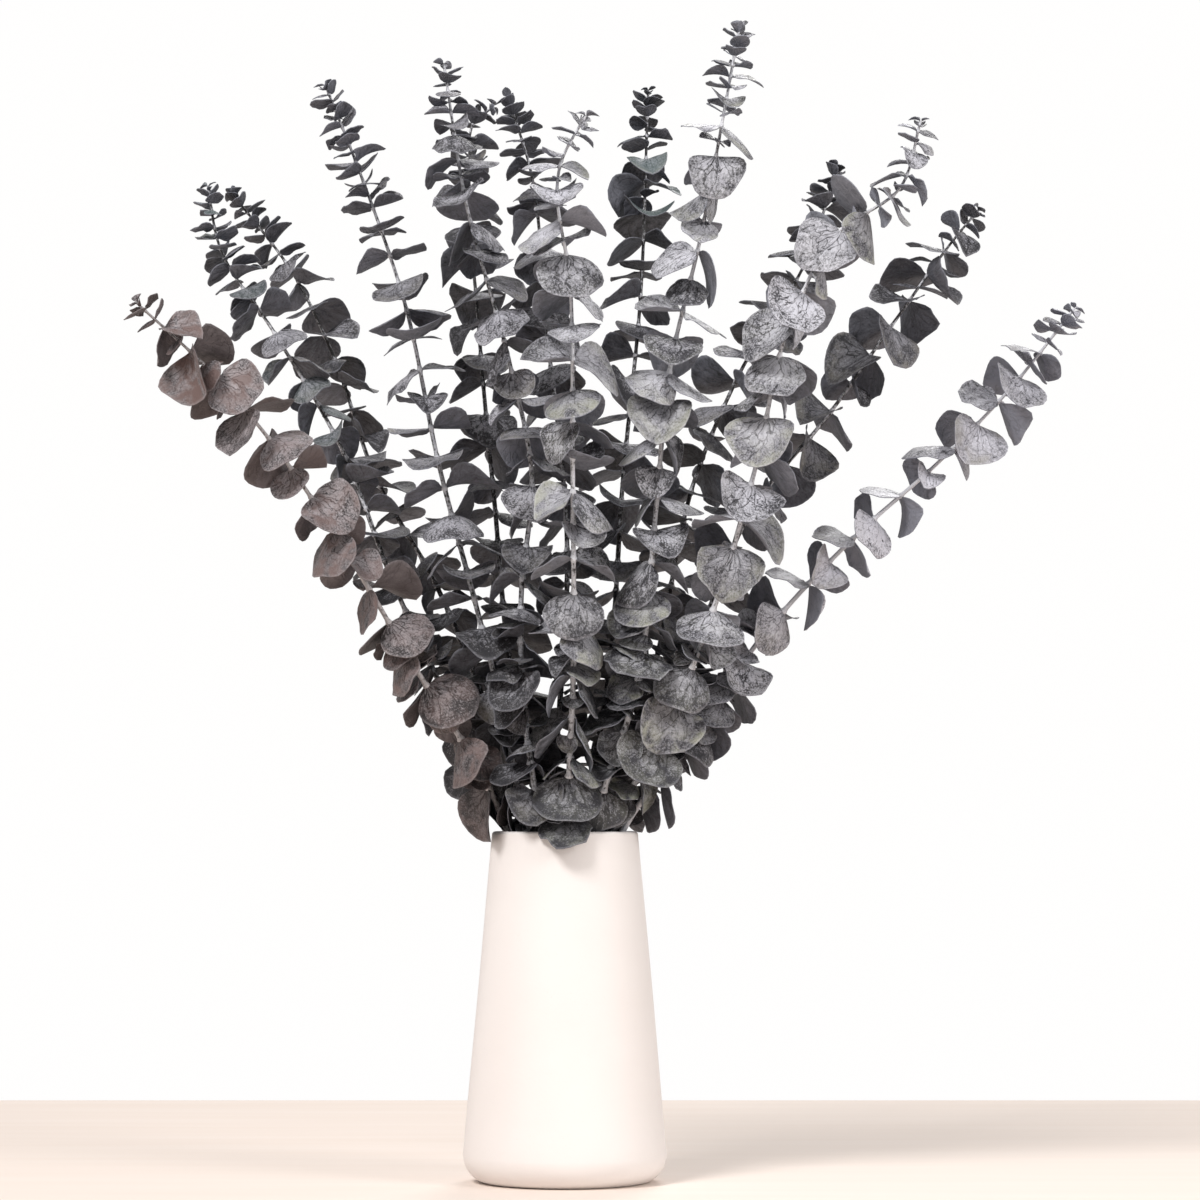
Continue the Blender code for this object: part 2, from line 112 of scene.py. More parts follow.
# What a leaf keeps free round its faces, its edge and its own stem, and how it may be bent to do so: by these
# angles in degrees and to these shares of its size.
FACE_CLEARANCE = 0.0004
EDGE_CLEARANCE = 0.0007
STEM_CLEARANCE = 0.0003
TURN_BENDS = (0, -14, 14, -28, 28, -42, 42, -56, 56)
DROOP_BENDS = (0, 14, -14, 28, -28, 42, -42, -56, -70, -84)
SIZE_BENDS = (1.0, 0.86, 0.72, 0.58)

# The least bend is tried first. There, shrinking a leaf to nothing would count as much as this angle.
FULL_SHRINK_IN_DEGREES = 130

# The leaves that are farthest out and highest are placed first, and height has this weight.
HEIGHT_IN_ORDER = 0.4

QUARTER_TURN = math.pi / 2

# The material slots of the branches.
GREY_LEAF = "grey_leaf"
PALE_LEAF = "pale_leaf"
BROWN_LEAF = "brown_leaf"

# The branches' outlines are given as seen from this point, in the upright plane through the vase's axis.
EYE = Vector((0.0, -2.30, 0.218))

# One branch. tint is its colour, rim is where its stem passes the vase's rim, depth is how far its tip lies
# behind the vase's axis (towards the front where negative), and path is its outline from low to high, as seen
# (x, z) points. turn is the angle of its leaf pairs about the stem, droop how far its grown leaves hang back
# from the stem, leaf their length, pitch the distance between grown pairs, young the length of the young tip
# along which the leaves grow to full size, and bare the height below which the stem has no leaves.
# All lengths are in millimetres and angles in degrees.
Branch = namedtuple("Branch", "name tint rim depth path turn droop leaf pitch young bare")

BRANCHES = (
    Branch("branch_01", BROWN_LEAF, (-33, -9), -105,
           ((-89, 299), (-129, 366), (-171, 427), (-202, 463), (-247, 505)),
           35, 30, 27, 21.5, 28, 222),
    Branch("branch_02", GREY_LEAF, (-30, 9), 25,
           ((-61, 262), (-98, 340), (-131, 424), (-168, 487), (-201, 540), (-207, 573)),
           20, 20, 21, 17, 75, 224),
    Branch("branch_03", GREY_LEAF, (-21, 21), 95,
           ((-42, 262), (-76, 344), (-109, 402), (-135, 475), (-157, 520), (-194, 569)),
           60, 16, 21, 17.5, 75, 228),
    Branch("branch_04", GREY_LEAF, (-24, -13), -30,
           ((-34, 261), (-51, 329), (-72, 408), (-93, 506), (-120, 584), (-139, 632)),
           4, 8, 25, 17, 120, 226),
    Branch("branch_05", GREY_LEAF, (-14, -27), -60,
           ((-24, 276), (-25, 336), (-19, 405), (-32, 471), (-57, 563), (-70, 644)),
           0, 28, 24, 17.5, 60, 221),
    Branch("branch_06", GREY_LEAF, (-7, 28), 75,
           ((-26, 264), (-42, 397), (-51, 496), (-56, 580), (-52, 612), (-42, 619)),
           10, 16, 23, 18.5, 60, 226),
    Branch("branch_07", GREY_LEAF, (-9, 7), 40,
           ((-3, 276), (1, 351), (-12, 498), (-21, 584), (-34, 625)),
           80, 22, 23, 18.5, 70, 330),
    Branch("branch_08", PALE_LEAF, (1, -29), -125,
           ((5, 287), (5, 402), (4, 513), (-1, 588), (13, 614)),
           2, 20, 26, 18.5, 60, 229),
    Branch("branch_09", GREY_LEAF, (9, 26), 110,
           ((23, 276), (33, 406), (43, 513), (46, 597), (47, 629)),
           5, 16, 24, 18, 60, 223),
    Branch("branch_10", PALE_LEAF, (16, -23), -115,
           ((42, 285), (53, 387), (61, 466), (79, 543), (93, 617), (102, 666)),
           0, 27, 26, 17.5, 75, 222),
    Branch("branch_11", GREY_LEAF, (19, 13), 105,
           ((49, 287), (76, 408), (99, 462), (141, 535), (156, 584)),
           40, 18, 24, 18.5, 50, 226),
    Branch("branch_12", PALE_LEAF, (26, -17), -130,
           ((59, 261), (88, 334), (110, 408), (133, 499), (159, 546), (195, 572), (207, 611)),
           0, 32, 27, 19, 60, 228),
    Branch("branch_13", GREY_LEAF, (30, 7), 20,
           ((72, 299), (110, 389), (151, 439), (190, 494), (228, 546), (239, 559)),
           50, 26, 25, 19, 35, 223),
    Branch("branch_14", GREY_LEAF, (33, -7), -60,
           ((72, 253), (117, 316), (172, 374), (213, 410), (259, 457), (295, 502)),
           25, 24, 24, 19, 45, 227),
)

# One leaf: the branch and pair that it belongs to, its root in the middle of the stem's side, the ways out of
# that side and to the root's left end, the axes of its blade (across, along from root to tip, and up out of
# the face turned to the branch's tip), its size, how steeply its halves are folded up, and how its tip curls.
Leaf = namedtuple("Leaf", "branch pair side root out aside across along up length width fold tip_curl")

# A place on a stem: its point, the stem's direction and radius there, and the turn of its square section.
Node = namedtuple("Node", "point up radius turn")


# The stems


def seen_point(x, z, depth):
    """The point that far behind the vase's axis which is seen at (x, z) from EYE. All in millimetres."""
    flat = Vector((x, 0.0, z)) / 1000
    reach = (depth / 1000 - EYE.y) / -EYE.y
    return EYE + (flat - EYE) * reach


def stem_knots(branch):
    """The points that a stem's centreline passes through, from its foot on the vase's floor to its tip."""
    rim = Vector((branch.rim[0] / 1000, branch.rim[1] / 1000, VASE_HEIGHT))
    foot = Vector((rim.x * FOOT_SPREAD, rim.y * FOOT_SPREAD, VASE_FLOOR + SEAT_GAP))
    knots = [foot, foot + Vector((0.0, 0.0, FOOT_STRAIGHT)), rim]
    low, high = VASE_HEIGHT * 1000, branch.path[-1][1]
    for x, z in branch.path:
        share = (z - low) / (high - low)
        knots.append(seen_point(x, z, branch.rim[1] + (branch.depth - branch.rim[1]) * share))
    return knots


def smooth_curve(knots):
    """Closely spaced points on a smooth curve through the knots."""
    gaps = [(b - a).length for a, b in zip(knots, knots[1:])]
    slopes = [(knots[1] - knots[0]) / gaps[0]]
    for i in range(1, len(knots) - 1):
        before = (knots[i] - knots[i - 1]) / gaps[i - 1]
        after = (knots[i + 1] - knots[i]) / gaps[i]
        slopes.append((before * gaps[i] + after * gaps[i - 1]) / (gaps[i - 1] + gaps[i]))
    slopes.append((knots[-1] - knots[-2]) / gaps[-1])
    points = [knots[0].copy()]
    for i, gap in enumerate(gaps):
        count = max(1, round(gap / CURVE_STEP))
        for k in range(1, count + 1):
            t = k / count
            points.append(
                knots[i] * (2 * t**3 - 3 * t**2 + 1)
                + slopes[i] * gap * (t**3 - 2 * t**2 + t)
                + knots[i + 1] * (3 * t**2 - 2 * t**3)
                + slopes[i + 1] * gap * (t**3 - t**2)
            )
    return points


def lengths_along(points):
    """The distance along the points from the first to each."""
    total = [0.0]
    for a, b in zip(points, points[1:]):
        total.append(total[-1] + (b - a).length)
    return total


def length_at_height(points, lengths, height):
    return next(length for point, length in zip(points, lengths) if point.z >= height)


def node_at(points, lengths, distance, turn):
    """The place that far along a stem, its square section turned by that angle."""
    i = bisect.bisect_left(lengths, distance, 1, len(lengths) - 1)
    share = (distance - lengths[i - 1]) / (lengths[i] - lengths[i - 1])
    radius = STEM_FOOT_RADIUS + (STEM_TIP_RADIUS - STEM_FOOT_RADIUS) * (distance / lengths[-1]) ** TAPER_POWER
    up = (points[i] - points[i - 1]).normalized()
    return Node(points[i - 1].lerp(points[i], share), up, radius, turn)


def side_direction(node, side):
    """Straight out of one of the stem's four sides at a node. Side 0 faces right where it isn't turned."""
    front = Vector((0.0, -1.0, 0.0))
    front = (front - node.up * front.dot(node.up)).normalized()
    right = front.cross(node.up)
    angle = node.turn + side * QUARTER_TURN
    return right * math.cos(angle) + node.up.cross(right) * math.sin(angle)


def square_section(end, node):
    """Move the corners of a stem's end face to its square section at a node."""
    for corner, vert in enumerate(end.verts):
        diagonal = (side_direction(node, corner) + side_direction(node, corner + 1)).normalized()
        vert.co = node.point + diagonal * node.radius


def bare_stem(branch, points, nodes):
    """The points and faces of a branch's stem without its leaves."""
    lengths = lengths_along(points)
    turn = math.radians(branch.turn)
    rim = length_at_height(points, lengths, VASE_HEIGHT)
    bare = [node_at(points, lengths, rim * i / BARE_STEPS, turn) for i in range(BARE_STEPS + 1)]
    tip = node_at(points, lengths, lengths[-1], turn)
    body = bmesh.new()
    bmesh.ops.create_circle(body, cap_ends=True, segments=4, radius=1.0)
    end = list(body.faces)[0]
    square_section(end, bare[0])
    foot = bmesh.ops.duplicate(body, geom=[end])["geom"]
    bmesh.ops.reverse_faces(body, faces=[item for item in foot if isinstance(item, bmesh.types.BMFace)])
    for node in (*bare[1:], *reversed(nodes), tip):
        end = bmesh.ops.extrude_discrete_faces(body, faces=[end])["faces"][0]
        square_section(end, node)
    bmesh.ops.remove_doubles(body, verts=body.verts, dist=1e-7)
    body.verts.index_update()
    corners = [vert.co.copy() for vert in body.verts]
    faces = [[vert.index for vert in face.verts] for face in body.faces]
    body.free()
    return corners, faces


# The leaves

# Half of a blade's outline, from root to tip, as (share of the width, share of the length).
GROWN_OUTLINE = ((0.46, 0.12), (0.41, 0.76), (0.0, 1.0))
YOUNG_OUTLINE = ((0.50, 0.40), (0.0, 1.0))


def blade_point(leaf, across, along):
    """A point of the blade's upper face. across and along are shares of its width and length."""
    rise = leaf.fold * abs(across) * leaf.width + leaf.tip_curl * along**2 * leaf.length
    return leaf.root + leaf.across * across * leaf.width + leaf.along * along * leaf.length + leaf.up * rise


def blade_edge(leaf):
    """The corners of the blade's upper face, anticlockwise, without the two at its root."""
    outline = GROWN_OUTLINE if leaf.length > LARGEST_YOUNG_LEAF else YOUNG_OUTLINE
    right = [blade_point(leaf, across, along) for across, along in outline]
    left = [blade_point(leaf, -across, along) for across, along in outline[:-1]]
    return [*right, *reversed(left)]


def blade_faces(count):
    """Triangles over a blade's face with that many corners. 0 and 1 are its root, the middle one its tip."""
    tip = (count + 1) // 2
    right = [(1, i, i + 1) for i in range(2, tip)]
    left = [(0, i, i + 1) for i in range(tip, count - 1)]
    return [(0, 1, tip), *right, *left]


def blade_guard(leaf):
    """The points and faces of a slightly larger blade, clear of its own stem, to find what it would cross."""
    above = FACE_CLEARANCE
    below = LEAF_THICKNESS + FACE_CLEARANCE
    lean = leaf.up.dot(leaf.out)
    start = leaf.root + leaf.out * (STEM_CLEARANCE + max(below * lean, -above * lean))
    middle = blade_point(leaf, 0, 0.5)
    swell = 1 + 2 * EDGE_CLEARANCE / leaf.length
    edge = [middle + (point - middle) * swell for point in blade_edge(leaf)]
    outline = [start + leaf.aside, start - leaf.aside, *edge]
    count = len(outline)
    points = [point + leaf.up * above for point in outline] + [point - leaf.up * below for point in outline]
    faces = []
    for face in blade_faces(count):
        faces += [face, tuple(count + i for i in reversed(face))]
    faces += [(i, count + i, count + (i + 1) % count, (i + 1) % count) for i in range(count)]
    return points, faces


def leaf_at(branch, pair, node, side, turn, droop, roll, length, width, fold, tip_curl):
    """The leaf that grows from one side of the stem at a node, turned, drooping and rolled."""
    out = side_direction(node, side)
    half_side = node.radius * math.cos(QUARTER_TURN / 2)
    root = node.point + out * half_side
    left = node.up.cross(out)
    level = out * math.cos(turn) + left * math.sin(turn)
    along = level * math.cos(droop) - node.up * math.sin(droop)
    up = level * math.sin(droop) + node.up * math.cos(droop)
    across = along.cross(up)
    tilted = across * math.cos(roll) + up * math.sin(roll)
    axes = (tilted, along, tilted.cross(along))
    return Leaf(branch, pair, side, root, out, left * half_side, *axes, length, width, fold, tip_curl)


def outward(node):
    """Level, straight away from the vase's axis."""
    return Vector((node.point.x, node.point.y, 0.0)).normalized()


def facing_out(node, side):
    """How squarely a side of the stem faces out of the bunch, from -1 to 1."""
    return side_direction(node, side).dot(outward(node))


def crowded_out(leaf):
    """True of a leaf that would grow towards the middle of the bunch, low down where the stems are close."""
    node = leaf["node"]
    return node.point.z < CROWDED_HEIGHT and facing_out(node, leaf["side"]) < -CROWDED_INWARD


def mix(start, end, share):
    return start + (end - start) * share


def draw_angle(degrees, dice):
    return math.radians(dice.uniform(*degrees))


def leaf_pair(branch, pair, node, first_side, grown, dice):
    """The two wanted leaves of a pair. grown is 0 at the branch's tip and 1 where its leaves are grown."""
    hanging = max(0.0, HANGING_HEIGHT - node.point.z) / (HANGING_HEIGHT - VASE_HEIGHT)
    size = branch.leaf / 1000 * mix(YOUNGEST_SIZE, 1.0, grown**SIZE_GROWTH_POWER)
    size *= 1 + HANGING_SIZE_GAIN * hanging
    droop = mix(YOUNGEST_DROOP, math.radians(branch.droop), grown**DROOP_GROWTH_POWER)
    droop = mix(droop, max(droop, HANGING_DROOP), hanging)
    leaves = []
    for side in (first_side, first_side + 2):
        length = size * dice.uniform(*LENGTH_DRAW)
        leaves.append(
            {
                "branch": branch.name,
                "pair": pair,
                "node": node,
                "side": side,
                "turn": draw_angle(LEAF_TURN_DRAW, dice),
                "droop": droop + draw_angle(DROOP_DRAW, dice),
                "roll": draw_angle(ROLL_DRAW, dice),
                "length": length,
                "width": length * mix(YOUNGEST_WIDTH_PER_LENGTH, GROWN_WIDTH_PER_LENGTH, grown),
                "fold": dice.uniform(*FOLD_DRAW),
                "tip_curl": dice.uniform(*TIP_CURL_DRAW),
            }
        )
    return leaves


def growth(branch, points, dice):
    """The nodes of the branch's leaf pairs, from its tip down, and the wanted leaves of all of them."""
    lengths = lengths_along(points)
    from_tip = FIRST_LEAF_FROM_TIP
    lowest = length_at_height(points, lengths, branch.bare / 1000)
    nodes, leaves = [], []
    while lengths[-1] - from_tip > lowest + SKIRT_GAP:
        grown = min(1.0, from_tip * 1000 / branch.young)
        turn = math.radians(branch.turn + dice.uniform(*PAIR_TURN_DRAW))
        node = node_at(points, lengths, lengths[-1] - from_tip, turn)
        leaves += leaf_pair(branch, len(nodes), node, len(nodes) % 2, grown, dice)
        nodes.append(node)
        pitch = branch.pitch / 1000 * mix(YOUNGEST_PITCH_SHARE, 1.0, grown)
        if node.point.z < HANGING_HEIGHT:
            pitch *= HANGING_PITCH_SHARE
        from_tip += pitch * dice.uniform(*PITCH_DRAW)
    skirt = node_at(points, lengths, lowest, math.radians(branch.turn))
    outermost = max(range(4), key=lambda side: facing_out(skirt, side))
    beside = skirt.up.cross(side_direction(skirt, outermost)).dot(outward(skirt))
    leaf = leaf_pair(branch, len(nodes), skirt, outermost, 1.0, dice)[0]
    leaves.append(dict(leaf, turn=math.atan2(beside, facing_out(skirt, outermost)), droop=SKIRT_DROOP))
    nodes.append(skirt)
    return nodes, [leaf for leaf in leaves if not crowded_out(leaf)]


def bends():
    """Ways to bend a leaf clear of its neighbours, least first: (turn, droop, size)."""
    ways = []
    for turn, droop, size in itertools.product(TURN_BENDS, DROOP_BENDS, SIZE_BENDS):
        ways.append((abs(turn) + abs(droop) + FULL_SHRINK_IN_DEGREES * (1 - size), turn, droop, size))
    ways.sort()
    return [(math.radians(turn), math.radians(droop), size) for _, turn, droop, size in ways]


class Solids:
    """The solids placed so far, to find what a new one would cross."""

    def __init__(self):
        self.placed = []

    @staticmethod
    def tree(points, faces):
        """The lowest and highest corners of a solid's box, and its faces as a tree."""
        low, high = [[pick(point[i] for point in points) for i in range(3)] for pick in (min, max)]
        return low, high, BVHTree.FromPolygons(points, faces)

    def add(self, points, faces):
        self.placed.append(self.tree(points, faces))

    def crossed(self, points, faces):
        low, high, tree = self.tree(points, faces)
        for lowest, highest, other in self.placed:
            if all(low[i] <= highest[i] and high[i] >= lowest[i] for i in range(3)) and tree.overlap(other):
                return True
        return False


def clear_leaves(wanted, solids, ways):
    """The wanted leaves, in this order, each bent in one of some ways clear of what is there, or left out."""
    leaves = []
    for want in wanted:
        for turn, droop, share in ways:
            bent = dict(want, turn=want["turn"] + turn, droop=want["droop"] + droop)
            bent.update(length=want["length"] * share, width=want["width"] * share)
            leaf = leaf_at(**bent)
            guard = blade_guard(leaf)
            if not solids.crossed(*guard):
                solids.add(*guard)
                leaves.append(leaf)
                break
    return leaves


def skirt_first(leaf):
    """Puts the leaves that hang over the rim first, and then the outermost and highest ones."""
    point = leaf["node"].point
    over_rim = leaf["droop"] == SKIRT_DROOP and math.hypot(point.x, point.y) > SKIRT_RADIUS
    return not over_rim, -math.hypot(point.x, point.y) - HEIGHT_IN_ORDER * point.z


# The leaves that the solids leave out

# How the leaves of one kind are drawn: the range of their size, in metres or as a share of what their place
# gives them, those of their turn, droop and roll in degrees, and those of their width in leaf lengths, of how
# steeply they are folded and of how their tips curl.
Kind = namedtuple("Kind", "size turn droop roll width fold tip_curl")

# The cluster of tiny leaves round a tip: its pairs, the distance between them, the length of the leaves in
# the lowest pair and the share of it that those in the highest have.
TIP_PAIRS = 3
TIP_PITCH = 0.0028
TIP_LEAF = 0.0090
TOPMOST_SHARE = 0.5
TIP_KIND = Kind((0.8, 1.3), (-30, 30), (-70, 5), (-30, 30), (0.75, 1.15), (0.2, 0.9), (-0.7, 0.3))

# Young pairs stand between the solids' own near a tip: how far down they reach, the room between two joints
# that one needs, and its leaves' length at the tip and where they end.
YOUNG_REACH = 0.075
YOUNG_ROOM = 0.0065
YOUNG_LEAF = (0.0105, 0.0165)
YOUNG_KIND = Kind((0.85, 1.15), (20, 45), (-45, 10), ROLL_DRAW, (1.00, 1.30), FOLD_DRAW, TIP_CURL_DRAW)

# The sizes to which a leaf is reduced where a full one found no room.
FILL_SHARES = (0.75, 0.55, 0.42)

# A stretch of height, in metres, that gets more leaves, one every few millimetres of a stem. Their turns are
# counted from straight outwards.
Zone = namedtuple("Zone", "start end kind")


def low_kind(size, spread, droop):
    return Kind(size, (-spread, spread), droop, ROLL_DRAW, (1.15, 1.45), FOLD_DRAW, TIP_CURL_DRAW)


LOW_ZONES = (
    Zone(0.202, 0.232, low_kind((0.021, 0.030), 85, (12, 55))),
    Zone(0.186, 0.206, low_kind((0.015, 0.024), 180, (-70, -15))),
    Zone(0.232, 0.315, low_kind((0.014, 0.024), 180, (-15, 45))),
)
LOW_LEAF_STEP = (0.003, 0.006)

# These leaves belong to none of the solids' pairs, and the low and young ones are bent by less than this.
EXTRA_PAIR = -1
SMALL_BEND = math.radians(45)


def extra_leaf(branch, node, side, length, turn, kind, dice):
    """A wanted leaf, its other measures drawn as its kind has them."""
    return {
        "branch": branch.name,
        "pair": EXTRA_PAIR,
        "node": node,
        "side": side,
        "turn": turn,
        "droop": draw_angle(kind.droop, dice),
        "roll": draw_angle(kind.roll, dice),
        "length": length,
        "width": length * dice.uniform(*kind.width),
        "fold": dice.uniform(*kind.fold),
        "tip_curl": dice.uniform(*kind.tip_curl),
    }


def extra_pair(branch, node, first_side, length, kind, dice):
    """Two wanted leaves opposite each other."""
    leaves = []
    for side in (first_side, first_side + 2):
        size = length * dice.uniform(*kind.size)
        leaves.append(extra_leaf(branch, node, side, size, draw_angle(kind.turn, dice), kind, dice))
    return leaves


def tip_leaves(branch, points, dice):
    """The small raised leaves round a branch's growing tip."""
    lengths = lengths_along(points)
    leaves = []
    for pair in range(TIP_PAIRS):
        node = node_at(points, lengths, lengths[-1] - pair * TIP_PITCH, math.radians(branch.turn))
        length = TIP_LEAF * mix(TOPMOST_SHARE, 1.0, pair / (TIP_PAIRS - 1))
        leaves += extra_pair(branch, node, pair % 2, length, TIP_KIND, dice)
    return leaves


def young_leaves(branch, points, joints, dice):
    """Small pairs between the solids' own along a branch's young end. joints are distances along it."""
    lengths = lengths_along(points)
    leaves = []
    places = sorted([*joints, lengths[-1]])
    for low, high in zip(places, places[1:]):
        depth = lengths[-1] - (low + high) / 2
        if depth > YOUNG_REACH or high - low < YOUNG_ROOM:
            continue
        node = node_at(points, lengths, (low + high) / 2, math.radians(branch.turn))
        length = mix(*YOUNG_LEAF, depth / YOUNG_REACH)
        leaves += extra_pair(branch, node, dice.choice((0, 1)), length, YOUNG_KIND, dice)
    return leaves


def low_leaves(branch, points, zone, dice):
    """More leaves in a low zone, so that the bunch is closed above the rim and hangs over it."""
    lengths = lengths_along(points)
    leaves = []
    height = zone.start + dice.uniform(*LOW_LEAF_STEP) / 2
    while height < zone.end:
        place = length_at_height(points, lengths, height)
        node = node_at(points, lengths, place, math.radians(branch.turn))
        way = math.atan2(outward(node).dot(side_direction(node, 1)), facing_out(node, 0))
        way += draw_angle(zone.kind.turn, dice)
        side = round(way / QUARTER_TURN)
        length = dice.uniform(*zone.kind.size)
        leaves.append(extra_leaf(branch, node, side % 4, length, way - side * QUARTER_TURN, zone.kind, dice))
        height += dice.uniform(*LOW_LEAF_STEP)
    return [leaf for leaf in leaves if not crowded_out(leaf)]


def fill_leaves(wanted, placed, solids, ways):
    """Smaller leaves for the places where a full one didn't fit, clear of what is there."""
    there = {(leaf.branch, leaf.pair, leaf.side) for leaf in placed}
    small = []
    for share in FILL_SHARES:
        missing = [want for want in wanted if (want["branch"], want["pair"], want["side"]) not in there]
        reduced = [dict(want, length=want["length"] * share, width=want["width"] * share) for want in missing]
        found = clear_leaves(reduced, solids, ways)
        there |= {(leaf.branch, leaf.pair, leaf.side) for leaf in found}
        small += found
    return small


# The fine meshes. Each point carries two vectors for the materials. leaf_place is its place on its own leaf
# or stem in millimetres, with a third number that differs from leaf to leaf. leaf_tint is how pale and how
# brown its leaf is, and how far it lies from the leaf's root to its edge. The paleness differs at random and
# also holds painted light and shade: paler towards the front of the bunch, darker low down.

STEM_SIDES = 10
STEM_ROUND_SHARE = 0.88
STEM_RING_STEP = 0.004
STEM_SWAY = 0.04
FLARE = 0.50
FLARE_REACH = 0.0012
FLARE_RINGS = (-2.0, -1.0, -0.4, 0.0, 0.4, 1.0, 2.0)
SHARP_FROM = math.radians(60)
PATTERN_SHIFT = (0, 90)
UPPER, UNDER, BARK = range(3)

# A leaf's mesh: how many columns it has round its tip, and how far out its rows lie. The outline is left open
# at the root.
BLADE_THICKNESS = 0.00045
GROWN_GRID = (22, (0.09, 0.24, 0.42, 0.60, 0.77, 0.91, 1.0))
SMALL_GRID = (14, (0.14, 0.38, 0.68, 0.90, 1.0))
GROWN_FROM = 0.0125
BASE_OPENING = 0.93

# Its outline: its half width as a share of its width, how heart-shaped, square and lopsided it is, how its
# tip is drawn out or notched and over what angle, and how uneven it is.
HALF_WIDTH = 0.485
HEART_DRAW = (0.04, 0.20)
SQUARENESS_DRAW = (0.72, 0.90)
LOPSIDED_DRAW = (-0.05, 0.05)
POINT_DRAW = (0.0, 0.07)
NOTCH_DRAW = (-0.05, 0.03)
POINT_BREADTH = 0.25
OUTLINE_WAVES = (2, 3, 5)
OUTLINE_UNEVENNESS = 0.022

# Its relief: the rounding of its midrib's crease, how far across a round cup is as high as a sharp fold, the
# waves round its edge, the lift of one side, and its veins.
CREASE_ROUNDING = 0.0009
CUP_BREADTH = 0.42
EDGE_WAVES = (2, 3, 3, 4, 5)
RIPPLE_DRAW = (0.010, 0.050)
FINE_RIPPLE = 0.4
LIFT_DRAW = (-0.45, 0.45)
VEIN_OFFSETS = (3, 5, 8)
VEIN_DEPTH = 0.00018
DEEP_VEINS_FROM = 0.02


class Surface:
    """The points, faces and attributes of one branch's fine mesh, collected piece by piece."""

    def __init__(self):
        self.points, self.places, self.tints = [], [], []
        self.faces, self.kinds = [], []
        self.count = 0

    def add(self, points, places, tints, faces, kinds):
        self.points.append(points)
        self.places.append(places)
        self.tints.append(tints)
        self.faces += [tuple(i + self.count for i in face) for face in faces]
        self.kinds += kinds
        self.count += len(points)

    def mesh(self, name):
        mesh = bpy.data.meshes.new(name)
        mesh.from_pydata(np.concatenate(self.points).tolist(), [], self.faces)
        mesh.polygons.foreach_set("material_index", self.kinds)
        for label, values in (("leaf_place", self.places), ("leaf_tint", self.tints)):
            attribute = mesh.attributes.new(label, "FLOAT_VECTOR", "POINT")
            attribute.data.foreach_set("vector", np.concatenate(values).astype(np.float32).ravel())
        mesh.shade_smooth()
        mesh.set_sharp_from_angle(angle=SHARP_FROM)
        return mesh


def add_stem(surface, points, flares, tone, warmth, dice):
    """A round tapering stem, flared where each pair of leaves grows. flares are distances along it."""
    lengths = lengths_along(points)
    total = lengths[-1]
    wanted = {i * STEM_RING_STEP for i in range(int(total / STEM_RING_STEP) + 1)}
    for flare in flares:
        wanted |= {flare + share * FLARE_REACH for share in FLARE_RINGS}
    distances = [0.0]
    for distance in sorted(wanted):
        if distances[-1] + FLARE_REACH / 4 < distance < total:
            distances.append(distance)
    distances.append(total)
    places_of_flares = np.array(flares)
    around = np.arange(STEM_SIDES) * math.tau / STEM_SIDES
    cosines, sines = np.cos(around), np.sin(around)
    shift = dice.uniform(*PATTERN_SHIFT)
    rings, places, tints = [], [], []
    for distance in distances:
        node = node_at(points, lengths, distance, 0.0)
        flare = min(1.0, np.exp(-(((places_of_flares - distance) / FLARE_REACH) ** 2)).sum())
        radius = node.radius * STEM_ROUND_SHARE * (1 + FLARE * flare + dice.uniform(-STEM_SWAY, STEM_SWAY))
        circle = np.outer(cosines, side_direction(node, 0)) + np.outer(sines, side_direction(node, 1))
        rings.append(np.array(node.point) + circle * radius)
        along = np.full(STEM_SIDES, distance * 1000)
        places.append(np.stack([cosines * radius * 1000 + shift, along, sines * radius * 1000], 1))
        tints.append(np.tile((tone, warmth, flare), (STEM_SIDES, 1)))
    faces = []
    for ring in range(len(rings) - 1):
        for side in range(STEM_SIDES):
            low = ring * STEM_SIDES + side
            after = ring * STEM_SIDES + (side + 1) % STEM_SIDES
            faces.append((low, after, after + STEM_SIDES, low + STEM_SIDES))
    last = (len(rings) - 1) * STEM_SIDES
    faces.append(tuple(reversed(range(STEM_SIDES))))
    faces.append(tuple(range(last, last + STEM_SIDES)))
    kinds = [BARK] * len(faces)
    surface.add(np.concatenate(rings), np.concatenate(places), np.concatenate(tints), faces, kinds)


def leaf_grid(columns, rows):
    """The faces of a leaf's upper side, fanned from its root, and the loop of points round its edge."""
    width = columns + 1
    faces = [(0, 2 + j, 1 + j) for j in range(columns)]
    for i in range(rows - 1):
        for j in range(columns):
            inner = 1 + i * width + j
            faces.append((inner, inner + 1, inner + 1 + width, inner + width))
    right = [1 + i * width + columns for i in range(rows)]
    rim = [1 + (rows - 1) * width + j for j in range(columns - 1, -1, -1)]
    left = [1 + i * width for i in range(rows - 2, -1, -1)]
    return faces, [0, *right, *rim, *left]


def leaf_outline(theta, dice):
    """A leaf's outline as shares of its width and length. theta is 0 at its tip and near pi at its root."""
    draws = (HEART_DRAW, SQUARENESS_DRAW, LOPSIDED_DRAW, POINT_DRAW, NOTCH_DRAW)
    heart, squareness, lopsided, point, notch = [dice.uniform(*draw) for draw in draws]
    across = HALF_WIDTH * np.sign(theta) * np.abs(np.sin(theta)) ** squareness
    across *= (1 - heart * np.cos(theta)) * (1 + lopsided * np.sign(theta))
    along = 0.5 + 0.5 * np.cos(theta)
    along += (point + notch) * np.exp(-((theta / POINT_BREADTH) ** 2))
    swell = 1.0
    for waves in OUTLINE_WAVES:
        for wave in (np.sin, np.cos):
            swell = swell + dice.uniform(-OUTLINE_UNEVENNESS, OUTLINE_UNEVENNESS) * wave(waves * theta)
    return across * swell, along * swell


